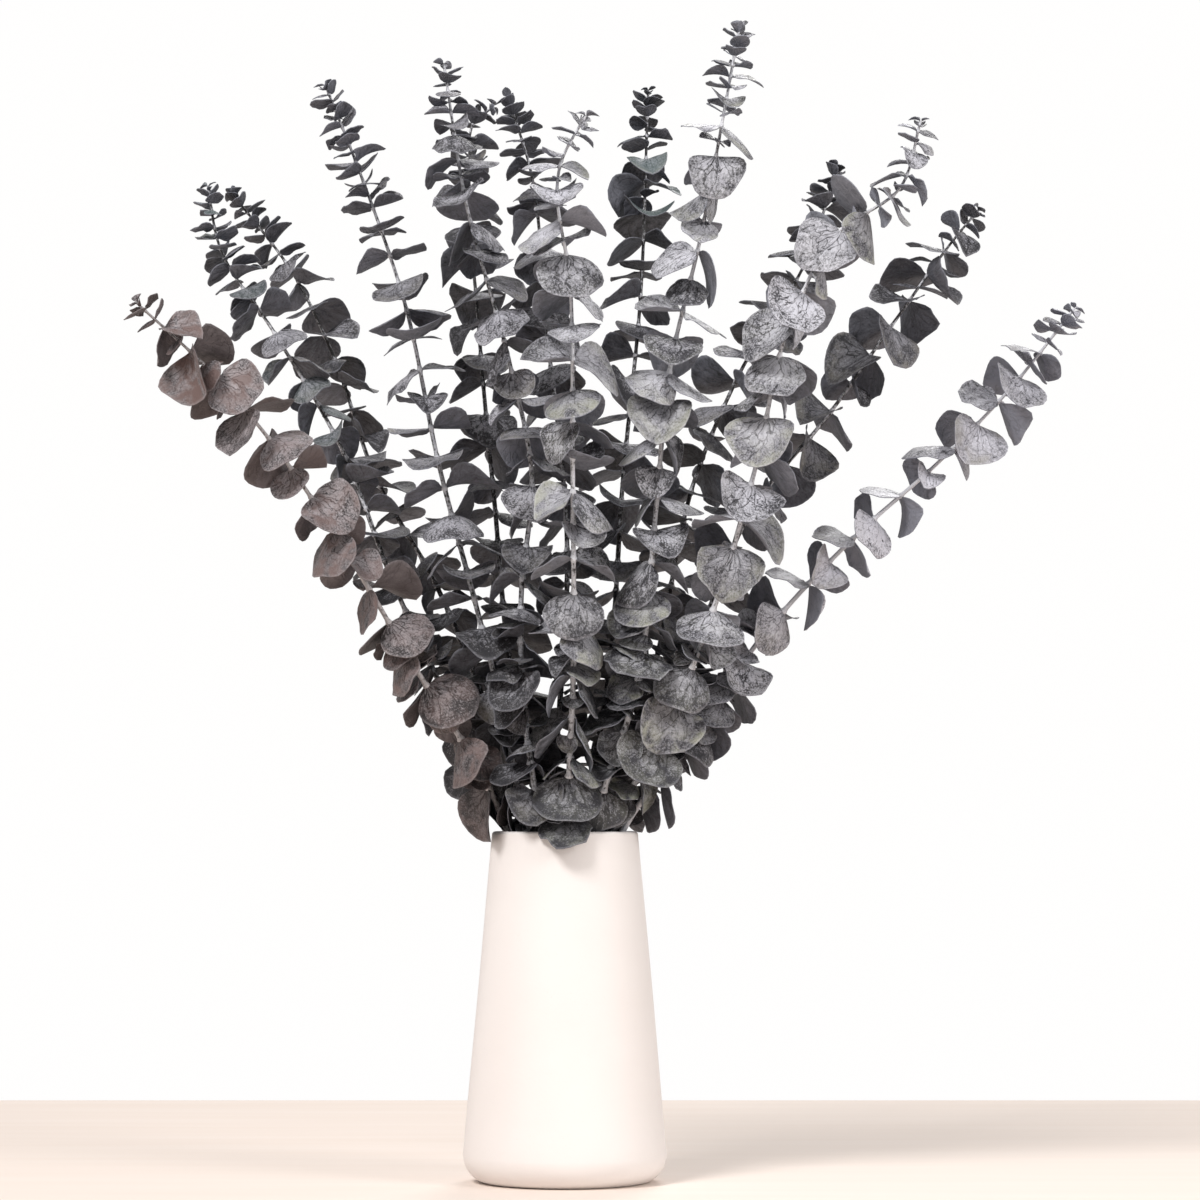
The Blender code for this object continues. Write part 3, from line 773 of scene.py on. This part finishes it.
def leaf_relief(leaf, theta, across, along, reach, dice):
    """How high each point of a leaf lies over its flat blade: its fold, curl, waved edge and lifted side."""
    crease = dice.uniform(0.0, 1.0)
    fold = crease * np.sqrt(across**2 + CREASE_ROUNDING) + (1 - crease) * across**2 / CUP_BREADTH
    height = leaf.fold * fold * leaf.width + leaf.tip_curl * along**2 * leaf.length
    waves, phase = dice.choice(EDGE_WAVES), dice.uniform(0, math.tau)
    ripple = dice.uniform(*RIPPLE_DRAW) * leaf.length
    height += ripple * reach**2.5 * np.sin(waves * theta + phase)
    height += FINE_RIPPLE * ripple * reach**4 * np.sin((waves + 3) * theta + 2 * phase)
    lifted = np.clip(across * dice.choice((-1, 1)), 0, None)
    height += dice.uniform(*LIFT_DRAW) * leaf.width * lifted**2
    return height


def from_root(values):
    """The values of a leaf's rows, after a zero for its root."""
    return np.concatenate([[0.0], np.ravel(values)])


def add_leaf(surface, leaf, tone, warmth, dice):
    """One thin leaf, cupped, waved and veined, on the place of its solid."""
    columns, shares = GROWN_GRID if leaf.length > GROWN_FROM else SMALL_GRID
    edge_theta = np.linspace(-BASE_OPENING, BASE_OPENING, columns + 1) * math.pi
    edge_across, edge_along = leaf_outline(edge_theta, dice)
    reach = from_root(np.repeat(shares, columns + 1))
    across = from_root(np.outer(shares, edge_across))
    along = from_root(np.outer(shares, edge_along))
    theta = from_root(np.tile(edge_theta, len(shares)))
    height = leaf_relief(leaf, theta, across, along, reach, dice)
    vein = np.zeros(columns + 1)
    vein[columns // 2] = 1.0
    for offset in VEIN_OFFSETS:
        if offset < columns // 2:
            vein[columns // 2 - offset] = vein[columns // 2 + offset] = 0.5
    depth = VEIN_DEPTH * min(1.0, leaf.length / DEEP_VEINS_FROM)
    height -= from_root(np.outer(np.sin(np.array(shares) * math.pi) ** 0.5, vein)) * depth
    flat = np.array(leaf.root) + np.outer(across * leaf.width, leaf.across)
    flat += np.outer(along * leaf.length, leaf.along)
    upper = flat + np.outer(height, leaf.up)
    lower = upper - np.array(leaf.up) * BLADE_THICKNESS
    shift = dice.uniform(*PATTERN_SHIFT)
    same = np.ones(len(reach))
    place = np.stack([across * leaf.width * 1000, along * leaf.length * 1000, same * shift], 1)
    tint = np.stack([same * tone, same * warmth, reach], 1)
    faces, loop = leaf_grid(columns, len(shares))
    count = len(reach)
    under = [tuple(count + i for i in reversed(face)) for face in faces]
    rim = [(end, start, start + count, end + count) for start, end in zip(loop, [*loop[1:], loop[0]])]
    kinds = [UPPER] * len(faces) + [UNDER] * (len(under) + len(rim))
    points = np.concatenate([upper, lower])
    surface.add(points, np.tile(place, (2, 1)), np.tile(tint, (2, 1)), [*faces, *under, *rim], kinds)


# The materials


class Shading:
    """A node material that is built up from named steps."""

    def __init__(self, name, roughness, specular):
        self.material = bpy.data.materials.new(name)
        self.material.use_nodes = True
        self.tree = self.material.node_tree
        self.shader = self.tree.nodes["Principled BSDF"]
        self.shader.inputs["Specular IOR Level"].default_value = specular
        self.shader.inputs["Roughness"].default_value = roughness

    def node(self, kind, values=None, **settings):
        node = self.tree.nodes.new(kind)
        for key, value in settings.items():
            setattr(node, key, value)
        for key, value in (values or {}).items():
            if isinstance(value, bpy.types.NodeSocket):
                self.tree.links.new(value, node.inputs[key])
            else:
                node.inputs[key].default_value = value
        return node

    def place(self):
        return self.node("ShaderNodeAttribute", attribute_name="leaf_place").outputs["Vector"]

    def tint(self):
        return self.parts(self.node("ShaderNodeAttribute", attribute_name="leaf_tint").outputs["Vector"])

    def parts(self, vector):
        return self.node("ShaderNodeSeparateXYZ", {0: vector}).outputs

    def joined(self, *parts):
        return self.node("ShaderNodeCombineXYZ", dict(enumerate(parts))).outputs[0]

    def noise(self, vector, scale, detail=2.0, roughness=0.5, distortion=0.0):
        values = {"Vector": vector, "Scale": scale, "Detail": detail, "Roughness": roughness}
        values["Distortion"] = distortion
        return self.node("ShaderNodeTexNoise", values).outputs["Fac"]

    def total(self, *shares):
        """The sum of some values, each times its weight."""
        result = 0.0
        for value, weight in shares:
            result = self.math("MULTIPLY_ADD", value, weight, result)
        return result

    def math(self, operation, *values, clamp=False):
        values = dict(enumerate(values))
        return self.node("ShaderNodeMath", values, operation=operation, use_clamp=clamp).outputs[0]

    def times(self, a, b, clamp=False):
        return self.math("MULTIPLY", a, b, clamp=clamp)

    def between(self, value, low, high, start=0.0, end=1.0):
        """The value's place between low and high, as a number from start to end."""
        values = {"Value": value, "From Min": low, "From Max": high, "To Min": start, "To Max": end}
        return self.node("ShaderNodeMapRange", values).outputs["Result"]

    def mix_values(self, share, a, b):
        return self.node("ShaderNodeMix", {0: share, 2: a, 3: b}, data_type="FLOAT").outputs[0]

    def mix(self, share, a, b):
        a, b = [(*colour, 1.0) if isinstance(colour, tuple) else colour for colour in (a, b)]
        return self.node("ShaderNodeMix", {0: share, 6: a, 7: b}, data_type="RGBA").outputs[2]

    def scaled(self, vector, factors):
        values = {0: vector, 1: factors}
        return self.node("ShaderNodeVectorMath", values, operation="MULTIPLY").outputs[0]

    def finish(self, colour, bump_height, bump_distance, roughness=None):
        self.tree.links.new(colour, self.shader.inputs["Base Color"])
        bump = self.node("ShaderNodeBump", {"Height": bump_height, "Distance": bump_distance})
        bump.inputs["Strength"].default_value = 1.0
        self.tree.links.new(bump.outputs["Normal"], self.shader.inputs["Normal"])
        if roughness is not None:
            self.tree.links.new(roughness, self.shader.inputs["Roughness"])
        return self.material


def leaf_patterns(shading):
    """The patterns that both faces of a leaf share, each around 0.5, and the leaf's own three numbers."""
    place, (tone, warmth, reach) = shading.place(), shading.tint()
    x, y, shift = shading.parts(place)
    angle = shading.math("ARCTAN2", x, shading.math("ADD", y, 1.5))
    radius = shading.math("SQRT", shading.math("MULTIPLY_ADD", x, x, shading.times(y, y)))
    fan = shading.joined(shading.times(angle, 6.5), shading.times(radius, 0.14), shift)
    streaks = shading.noise(fan, 1.0, 5.0, 0.70)
    specks = shading.noise(place, 0.95, 5.0, 0.74)
    patches = shading.noise(place, 0.10, 3.0, 0.55, 0.5)
    own = shading.node("ShaderNodeTexWhiteNoise", {"W": shift}, noise_dimensions="1D").outputs["Value"]
    bend = shading.times(patches, 3.0)
    around = shading.math("MULTIPLY_ADD", angle, 3.4, bend)
    outwards = shading.math("MULTIPLY_ADD", radius, 0.11, bend)
    net = shading.joined(around, outwards, shift)
    cells = shading.node("ShaderNodeTexVoronoi", {"Vector": net, "Scale": 1.0}, feature="DISTANCE_TO_EDGE")
    gaps = shading.between(cells.outputs["Distance"], 0.0, 0.065)
    return streaks, specks, patches, gaps, own, tone, warmth, reach


def leaf_upper(name, dark, silver, warm):
    """A leaf's upper face: silver bloom, worn to charcoal in specks and in veins fanning from the root."""
    shading = Shading(name, 0.5, 0.4)
    streaks, specks, patches, gaps, own, tone, warmth, reach = leaf_patterns(shading)
    fanned = shading.between(reach, 0.10, 0.90, 0.80, 0.15)
    worn = shading.mix_values(fanned, specks, streaks)
    veined = shading.times(gaps, shading.between(reach, 0.3, 1.0, 0.20, 0.05))
    bloom = shading.total((worn, 1.0), (patches, 0.34), (tone, 0.20), (reach, 0.06), (veined, 1.0))
    softness = shading.between(own, 0.0, 1.0, 0.07, 0.20)
    low = shading.math("SUBTRACT", BLOOM_MIDDLE, softness)
    high = shading.math("ADD", BLOOM_MIDDLE, softness)
    bloom = shading.between(bloom, low, high)
    # tone is partly the leaf's own paleness and partly painted light and shade.
    light = shading.between(tone, 0.0, 1.0, 0.42, 1.0)
    colour = shading.mix(shading.times(bloom, light), dark, silver)
    margin = shading.times(shading.between(reach, 0.55, 1.0), shading.between(patches, 0.42, 0.60))
    share = shading.between(own, 0.5, 0.95, 0.0, 0.75)
    colour = shading.mix(shading.times(margin, share), colour, warm)
    blush = shading.times(shading.between(patches, 0.38, 0.62), warmth, clamp=True)
    colour = shading.mix(blush, colour, warm)
    colour = shading.mix(shading.between(warmth, -0.40, -1.0, 0.0, 0.38), colour, FRESH_LEAF)
    # A painted highlight along the leaf's edge.
    rim = shading.times(shading.between(reach, 0.94, 1.0, 0.0, 0.7), shading.times(worn, light))
    colour = shading.mix(rim, colour, silver)
    height = shading.total((worn, 1.0), (patches, 1.4), (veined, 3.0))
    return shading.finish(colour, height, 0.0006, shading.between(bloom, 0.0, 1.0, 0.62, 0.42))


def leaf_under(name, dark, pale, warm):
    """A leaf's underside: smoother and darker, with faint veins."""
    shading = Shading(name, 0.55, 0.35)
    streaks, specks, patches, gaps, own, tone, warmth, reach = leaf_patterns(shading)
    fine = shading.mix_values(0.6, specks, streaks)
    # tone is partly the leaf's own paleness and partly painted light and shade.
    share = shading.total((fine, 1.7), (patches, 0.7), (tone, 0.70), (gaps, 0.12))
    colour = shading.mix(shading.between(share, 1.20, 2.10), dark, pale)
    brown = shading.times(shading.between(patches, 0.42, 0.62), shading.between(own, 0.65, 1.0, 0.0, 0.40))
    colour = shading.mix(shading.math("MULTIPLY_ADD", warmth, 0.5, brown, clamp=True), colour, warm)
    # A painted highlight along the leaf's edge.
    rim = shading.times(shading.between(reach, 0.94, 1.0, 0.0, 0.7), fine)
    colour = shading.mix(rim, colour, pale)
    height = shading.total((fine, 0.7), (patches, 1.5), (gaps, 0.4))
    return shading.finish(colour, height, 0.0005)


def bark(name, dark, pale, warm):
    """A stem: silvery skin with dark scuffs, and silver bloom gathered round its joints."""
    shading = Shading(name, 0.55, 0.35)
    place, (tone, warmth, flare) = shading.place(), shading.tint()
    long_grain = shading.noise(shading.scaled(place, (0.8, 0.12, 0.8)), 1.0, 4.0, 0.7)
    scuffs = shading.noise(place, 0.45, 4.0, 0.75)
    # tone is painted light and shade: stems farther back in the bunch are darker.
    share = shading.total((long_grain, 2.4), (scuffs, 2.4), (tone, 0.60), (flare, 0.35))
    colour = shading.mix(shading.between(share, 2.52, 2.96), dark, pale)
    colour = shading.mix(shading.times(warmth, 0.5), colour, warm)
    height = shading.total((long_grain, 1.0), (scuffs, 0.6))
    return shading.finish(colour, height, 0.0004)


def ceramic():
    """Matte cream glaze with a faint cloudiness and a fine, slightly uneven skin."""
    shading = Shading("cream_glaze", 0.55, 0.35)
    place = shading.node("ShaderNodeTexCoord").outputs["Object"]
    clouds = shading.noise(place, 14.0, 3.0, 0.5)
    specks = shading.noise(place, 900.0, 2.0, 0.6)
    colour = shading.mix(shading.between(clouds, 0.3, 0.7), (0.805, 0.757, 0.735), (0.830, 0.790, 0.772))
    colour = shading.mix(shading.between(specks, 0.66, 0.80, 0.0, 0.35), colour, (0.70, 0.62, 0.55))
    skin = shading.noise(place, 260.0, 3.0, 0.55)
    height = shading.total((skin, 0.6), (clouds, 3.0))
    return shading.finish(colour, height, 0.00012, shading.between(skin, 0.3, 0.7, 0.48, 0.62))


def floor_finish():
    shading = Shading("pale_floor", 0.55, 0.25)
    place = shading.node("ShaderNodeTexCoord").outputs["Object"]
    grain = shading.noise(shading.scaled(place, (1.2, 14.0, 1.0)), 2.2, 4.0, 0.55)
    colour = shading.mix(shading.between(grain, 0.3, 0.7), (0.837, 0.725, 0.650), (0.863, 0.761, 0.694))
    return shading.finish(colour, grain, 0.0002)


# How much silver bloom hides a leaf's dark skin: half of it where the patterns add up to this.
BLOOM_MIDDLE = 0.95

# The blue-green of the youngest leaves, which shows at two tips.
FRESH_LEAF = (0.135, 0.205, 0.200)

# The tints of the three kinds of branch: upper face, underside and bark, each as (dark, pale, warm).
TINTS = {
    GREY_LEAF: (
        ((0.030, 0.029, 0.034), (0.605, 0.597, 0.660), (0.230, 0.215, 0.180)),
        ((0.019, 0.020, 0.024), (0.225, 0.231, 0.272), (0.085, 0.072, 0.066)),
        ((0.032, 0.031, 0.033), (0.710, 0.715, 0.765), (0.250, 0.225, 0.215)),
    ),
    PALE_LEAF: (
        ((0.040, 0.039, 0.045), (0.690, 0.684, 0.750), (0.410, 0.415, 0.310)),
        ((0.023, 0.024, 0.028), (0.288, 0.296, 0.342), (0.140, 0.125, 0.112)),
        ((0.038, 0.037, 0.039), (0.800, 0.805, 0.850), (0.320, 0.300, 0.280)),
    ),
    BROWN_LEAF: (
        ((0.036, 0.030, 0.031), (0.435, 0.398, 0.414), (0.165, 0.112, 0.104)),
        ((0.024, 0.020, 0.020), (0.200, 0.176, 0.184), (0.095, 0.064, 0.058)),
        ((0.036, 0.031, 0.032), (0.540, 0.515, 0.525), (0.220, 0.170, 0.155)),
    ),
}


def branch_materials(slot):
    upper, under, stem = TINTS[slot]
    return (
        leaf_upper(slot + "_upper", *upper),
        leaf_under(slot + "_under", *under),
        bark(slot + "_bark", *stem),
    )


# The pieces

LIP_STEPS = 10
CORNER_STEPS = 14
WALL_STEPS = 24
TURN_STEPS = 144

# The waver of the vase's wall: its size, and its waves as (share, waves round it, radians a metre up).
VASE_WAVER = 0.00025
WAVER_WAVES = ((1.0, 2, 9), (0.5, 3, -41))


def arc(centre, radii, start, end, steps):
    """Points (radius, height) of an arc about a centre, its angles counted from straight out, upwards."""
    points = []
    for step in range(steps + 1):
        angle = mix(start, end, step / steps)
        points.append((centre[0] + radii[0] * math.cos(angle), centre[1] + radii[1] * math.sin(angle)))
    return points


def wall(low, high):
    """Points between two ends of a straight wall."""
    shares = [i / WALL_STEPS for i in range(1, WALL_STEPS)]
    return [(mix(low[0], high[0], share), mix(low[1], high[1], share)) for share in shares]


def fine_profile():
    """The vase's profile: up the outside from the middle of its foot, over the round lip, and down inside."""
    half_wall = VASE_WALL / 2
    corner = (VASE_WIDEST_RADIUS - VASE_FOOT_RADIUS, VASE_WIDEST_HEIGHT)
    outer = arc((VASE_FOOT_RADIUS, corner[1]), corner, -QUARTER_TURN, 0.0, CORNER_STEPS)
    lip_centre = (VASE_RIM_RADIUS - half_wall, VASE_HEIGHT - half_wall)
    lip = arc(lip_centre, (half_wall, half_wall), 0.0, math.pi, LIP_STEPS)
    inner_corner = (corner[0] - half_wall, corner[1])
    inner_centre = (VASE_FOOT_RADIUS - half_wall, VASE_FLOOR + corner[1])
    inner = arc(inner_centre, inner_corner, 0.0, -QUARTER_TURN, CORNER_STEPS)
    return [
        (0.0, 0.0),
        *outer,
        *wall(outer[-1], lip[0]),
        *lip,
        *wall(lip[-1], inner[0]),
        *inner,
        (0.0, VASE_FLOOR),
    ]


def make_vase():
    """The turned vase, its wall wavering by a hair as thrown clay does."""
    body = bmesh.new()
    rings = []
    for radius, height in fine_profile():
        if radius == 0.0:
            rings.append([body.verts.new((0.0, 0.0, height))])
            continue
        ring = []
        for step in range(TURN_STEPS):
            angle = math.tau * step / TURN_STEPS
            waver = sum(share * math.sin(turns * angle + rise * height) for share, turns, rise in WAVER_WAVES)
            swell = radius + VASE_WAVER * waver * min(1.0, height / VASE_WIDEST_HEIGHT)
            ring.append(body.verts.new((swell * math.cos(angle), swell * math.sin(angle), height)))
        rings.append(ring)
    # A face at the middle of the foot or floor, where a ring is one point, has three corners.
    for low, high in zip(rings, rings[1:]):
        for step in range(TURN_STEPS):
            around = ((low, step), (low, step + 1), (high, step + 1), (high, step))
            corners = [ring[i % len(ring)] for ring, i in around]
            body.faces.new(list(dict.fromkeys(corners)))
    mesh = bpy.data.meshes.new("fine_vase")
    body.to_mesh(mesh)
    body.free()
    mesh.shade_smooth()
    mesh.materials.append(ceramic())
    add_piece(mesh, "vase")


def add_object(data):
    """A new object in the scene, with its data's name."""
    thing = bpy.data.objects.new(data.name, data)
    bpy.context.scene.collection.objects.link(thing)
    return thing


def add_piece(mesh, node):
    piece = add_object(mesh)
    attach(piece, BODY)
    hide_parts(node)


# How brown the leaves of some branches are, at the tip and at the foot. Less than nothing is blue-green.
WARMTH = {"branch_01": (0.95, 0.45), "branch_02": (-1.0, 0.15), "branch_09": (-1.0, 0.15)}
USUAL_WARMTH = (0.05, 0.15)

# The stems and leaves are the paler, the farther forward a branch's tip is, up to this many millimetres,
# as painted light and shade: the front of the bunch lit, its back in shade. Some branches have a tone of
# their own.
DEEPEST_TIP = 130
TONES = {"branch_14": 1.6, "branch_04": 0.70, "branch_09": 0.15}

# Painted shade: low down, where the bunch shades itself, the leaves are darker: their tone at the rim, and
# the share of the height where the shade ends.
RIM_SHADE_TONE = 0.16
UNSHADED_FROM = 0.50

# How far a leaf's own tone and warmth stray from its branch's.
OWN_TONE_SHARE = 0.5
OWN_WARMTH = (0.2, 1.4)

# Each use of random draws has dice of its own for each branch, seeded from these numbers up.
GROWTH_SEED, TIP_SEED, LOOK_SEED, LOW_SEED, YOUNG_SEED = 0, 100, 200, 300, 400


def dealt(seed):
    """Each branch with its dice for one use."""
    return [(branch, random.Random(seed + i)) for i, branch in enumerate(BRANCHES)]


def joint_distances(points, nodes):
    """How far along a branch each of its nodes is."""
    lengths = lengths_along(points)
    distances = []
    for node in nodes:
        nearest = min(range(len(points)), key=lambda i: (points[i] - node.point).length)
        distances.append(lengths[nearest] + (node.point - points[nearest]).dot(node.up))
    return distances


def grow_branches():
    """The branches' curves, their joints and all their leaves, grown as the solids are and then filled up."""
    solids = Solids()
    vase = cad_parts["vase"].data
    solids.add([vert.co.copy() for vert in vase.vertices], [list(face.vertices) for face in vase.polygons])
    curves, joints, wanted = {}, {}, []
    for branch, dice in dealt(GROWTH_SEED):
        curve = smooth_curve(stem_knots(branch))
        pairs, leaves = growth(branch, curve, dice)
        solids.add(*bare_stem(branch, curve, pairs))
        curves[branch.name] = curve
        joints[branch.name] = joint_distances(curve, pairs)
        wanted += leaves
    wanted.sort(key=skirt_first)
    ways = bends()
    leaves = clear_leaves(wanted, solids, ways)
    tips = []
    for branch, dice in dealt(TIP_SEED):
        tips += tip_leaves(branch, curves[branch.name], dice)
    leaves += clear_leaves(tips, solids, ways)
    leaves += fill_leaves(wanted, leaves, solids, ways)
    small_ways = [way for way in ways if max(map(abs, way[:2])) < SMALL_BEND]
    for zone in LOW_ZONES:
        low = []
        for branch, dice in dealt(LOW_SEED):
            low += low_leaves(branch, curves[branch.name], zone, dice)
        low.sort(key=lambda leaf: leaf["node"].point.z)
        leaves += clear_leaves(low, solids, small_ways)
    young = []
    for branch, dice in dealt(YOUNG_SEED):
        young += young_leaves(branch, curves[branch.name], joints[branch.name], dice)
    leaves += clear_leaves(young, solids, small_ways)
    return curves, joints, leaves


def make_branches():
    """Each branch as one fine piece, its leaves' tone and warmth drawn one by one."""
    curves, joints, leaves = grow_branches()
    finishes = {slot: branch_materials(slot) for slot in TINTS}
    for branch, dice in dealt(LOOK_SEED):
        points = curves[branch.name]
        surface = Surface()
        tip_warmth, foot_warmth = WARMTH.get(branch.name, USUAL_WARMTH)
        # Painted light and shade: a branch is paler the farther forward it stands.
        lit_tone = TONES.get(branch.name, 0.5 - 0.5 * branch.depth / DEEPEST_TIP)
        add_stem(surface, points, joints[branch.name], lit_tone, foot_warmth, dice)
        for leaf in leaves:
            if leaf.branch == branch.name:
                height = (leaf.root.z - VASE_HEIGHT) / (points[-1].z - VASE_HEIGHT)
                warmth = mix(foot_warmth, tip_warmth, height) * dice.uniform(*OWN_WARMTH)
                tone = mix(lit_tone, dice.random(), OWN_TONE_SHARE)
                # Painted shade: the leaves darken towards the rim.
                tone *= mix(RIM_SHADE_TONE, 1.0, min(1.0, height / UNSHADED_FROM))
                add_leaf(surface, leaf, tone, warmth, dice)
        mesh = surface.mesh("fine_" + branch.name)
        for material in finishes[branch.tint]:
            mesh.materials.append(material)
        add_piece(mesh, branch.name)


# The floor, the light and the camera

FLOOR_CORNERS = ((-2.4, -0.75), (2.4, -0.75), (2.4, 0.62), (-2.4, 0.62))
CAMERA_PLACE = (0.020, -2.30, 0.218)
CAMERA_RISE = math.radians(2.86)
CAMERA_LENS = 120.0
SENSOR_WIDTH = 36.0

# The white room: its light, the light's colour and the colour that the camera sees, and the soft lights, each
# with its place, what it faces, its diameter, power and colour.
ROOM_LIGHT = 0.46
ROOM_GLOW = (1.0, 0.985, 0.97, 1.0)
ROOM_SEEN = (1.0, 0.995, 0.99, 1.0)
SOFT_LIGHTS = (
    ("key", (-1.3, -2.0, 2.6), (0.0, 0.0, 0.35), 1.10, 86.0, (1.0, 0.99, 0.98)),
    ("fill", (2.2, -1.7, 1.3), (0.0, 0.0, 0.25), 1.20, 34.0, (1.0, 0.985, 0.975)),
    ("back", (0.5, 2.3, 2.0), (0.0, 0.0, 0.30), 1.20, 26.0, (1.0, 0.99, 0.98)),
)


def make_floor():
    mesh = bpy.data.meshes.new("floor")
    mesh.from_pydata([(x, y, 0.0) for x, y in FLOOR_CORNERS], [], [(0, 1, 2, 3)])
    mesh.materials.append(floor_finish())
    floor = add_object(mesh)


def soft_light(name, place, aim, size, power, colour):
    lamp = bpy.data.lights.new(name, "AREA")
    lamp.shape = "DISK"
    lamp.size = size
    lamp.energy = power
    lamp.color = colour
    light = add_object(lamp)
    light.location = place
    light.rotation_euler = (Vector(aim) - Vector(place)).to_track_quat("-Z", "Y").to_euler()


def make_light():
    """A white room, brighter to look at than its light, and soft lights from upper left, right and behind."""
    world = bpy.data.worlds.new("white_room")
    world.use_nodes = True
    tree = world.node_tree
    glow = tree.nodes["Background"]
    glow.inputs["Color"].default_value = ROOM_GLOW
    glow.inputs["Strength"].default_value = ROOM_LIGHT
    seen = tree.nodes.new("ShaderNodeBackground")
    seen.inputs["Color"].default_value = ROOM_SEEN
    path = tree.nodes.new("ShaderNodeLightPath")
    choice = tree.nodes.new("ShaderNodeMixShader")
    tree.links.new(path.outputs["Is Camera Ray"], choice.inputs[0])
    tree.links.new(glow.outputs[0], choice.inputs[1])
    tree.links.new(seen.outputs[0], choice.inputs[2])
    tree.links.new(choice.outputs[0], tree.nodes["World Output"].inputs["Surface"])
    bpy.context.scene.world = world
    for light in SOFT_LIGHTS:
        soft_light(*light)
    bpy.context.scene.view_settings.view_transform = "Standard"


def make_camera():
    lens = bpy.data.cameras.new("camera")
    lens.sensor_width = SENSOR_WIDTH
    lens.lens = CAMERA_LENS
    camera = add_object(lens)
    camera.location = CAMERA_PLACE
    camera.rotation_euler = (QUARTER_TURN + CAMERA_RISE, 0.0, 0.0)
    bpy.context.scene.camera = camera


make_camera()
make_light()
make_floor()
make_vase()
make_branches()
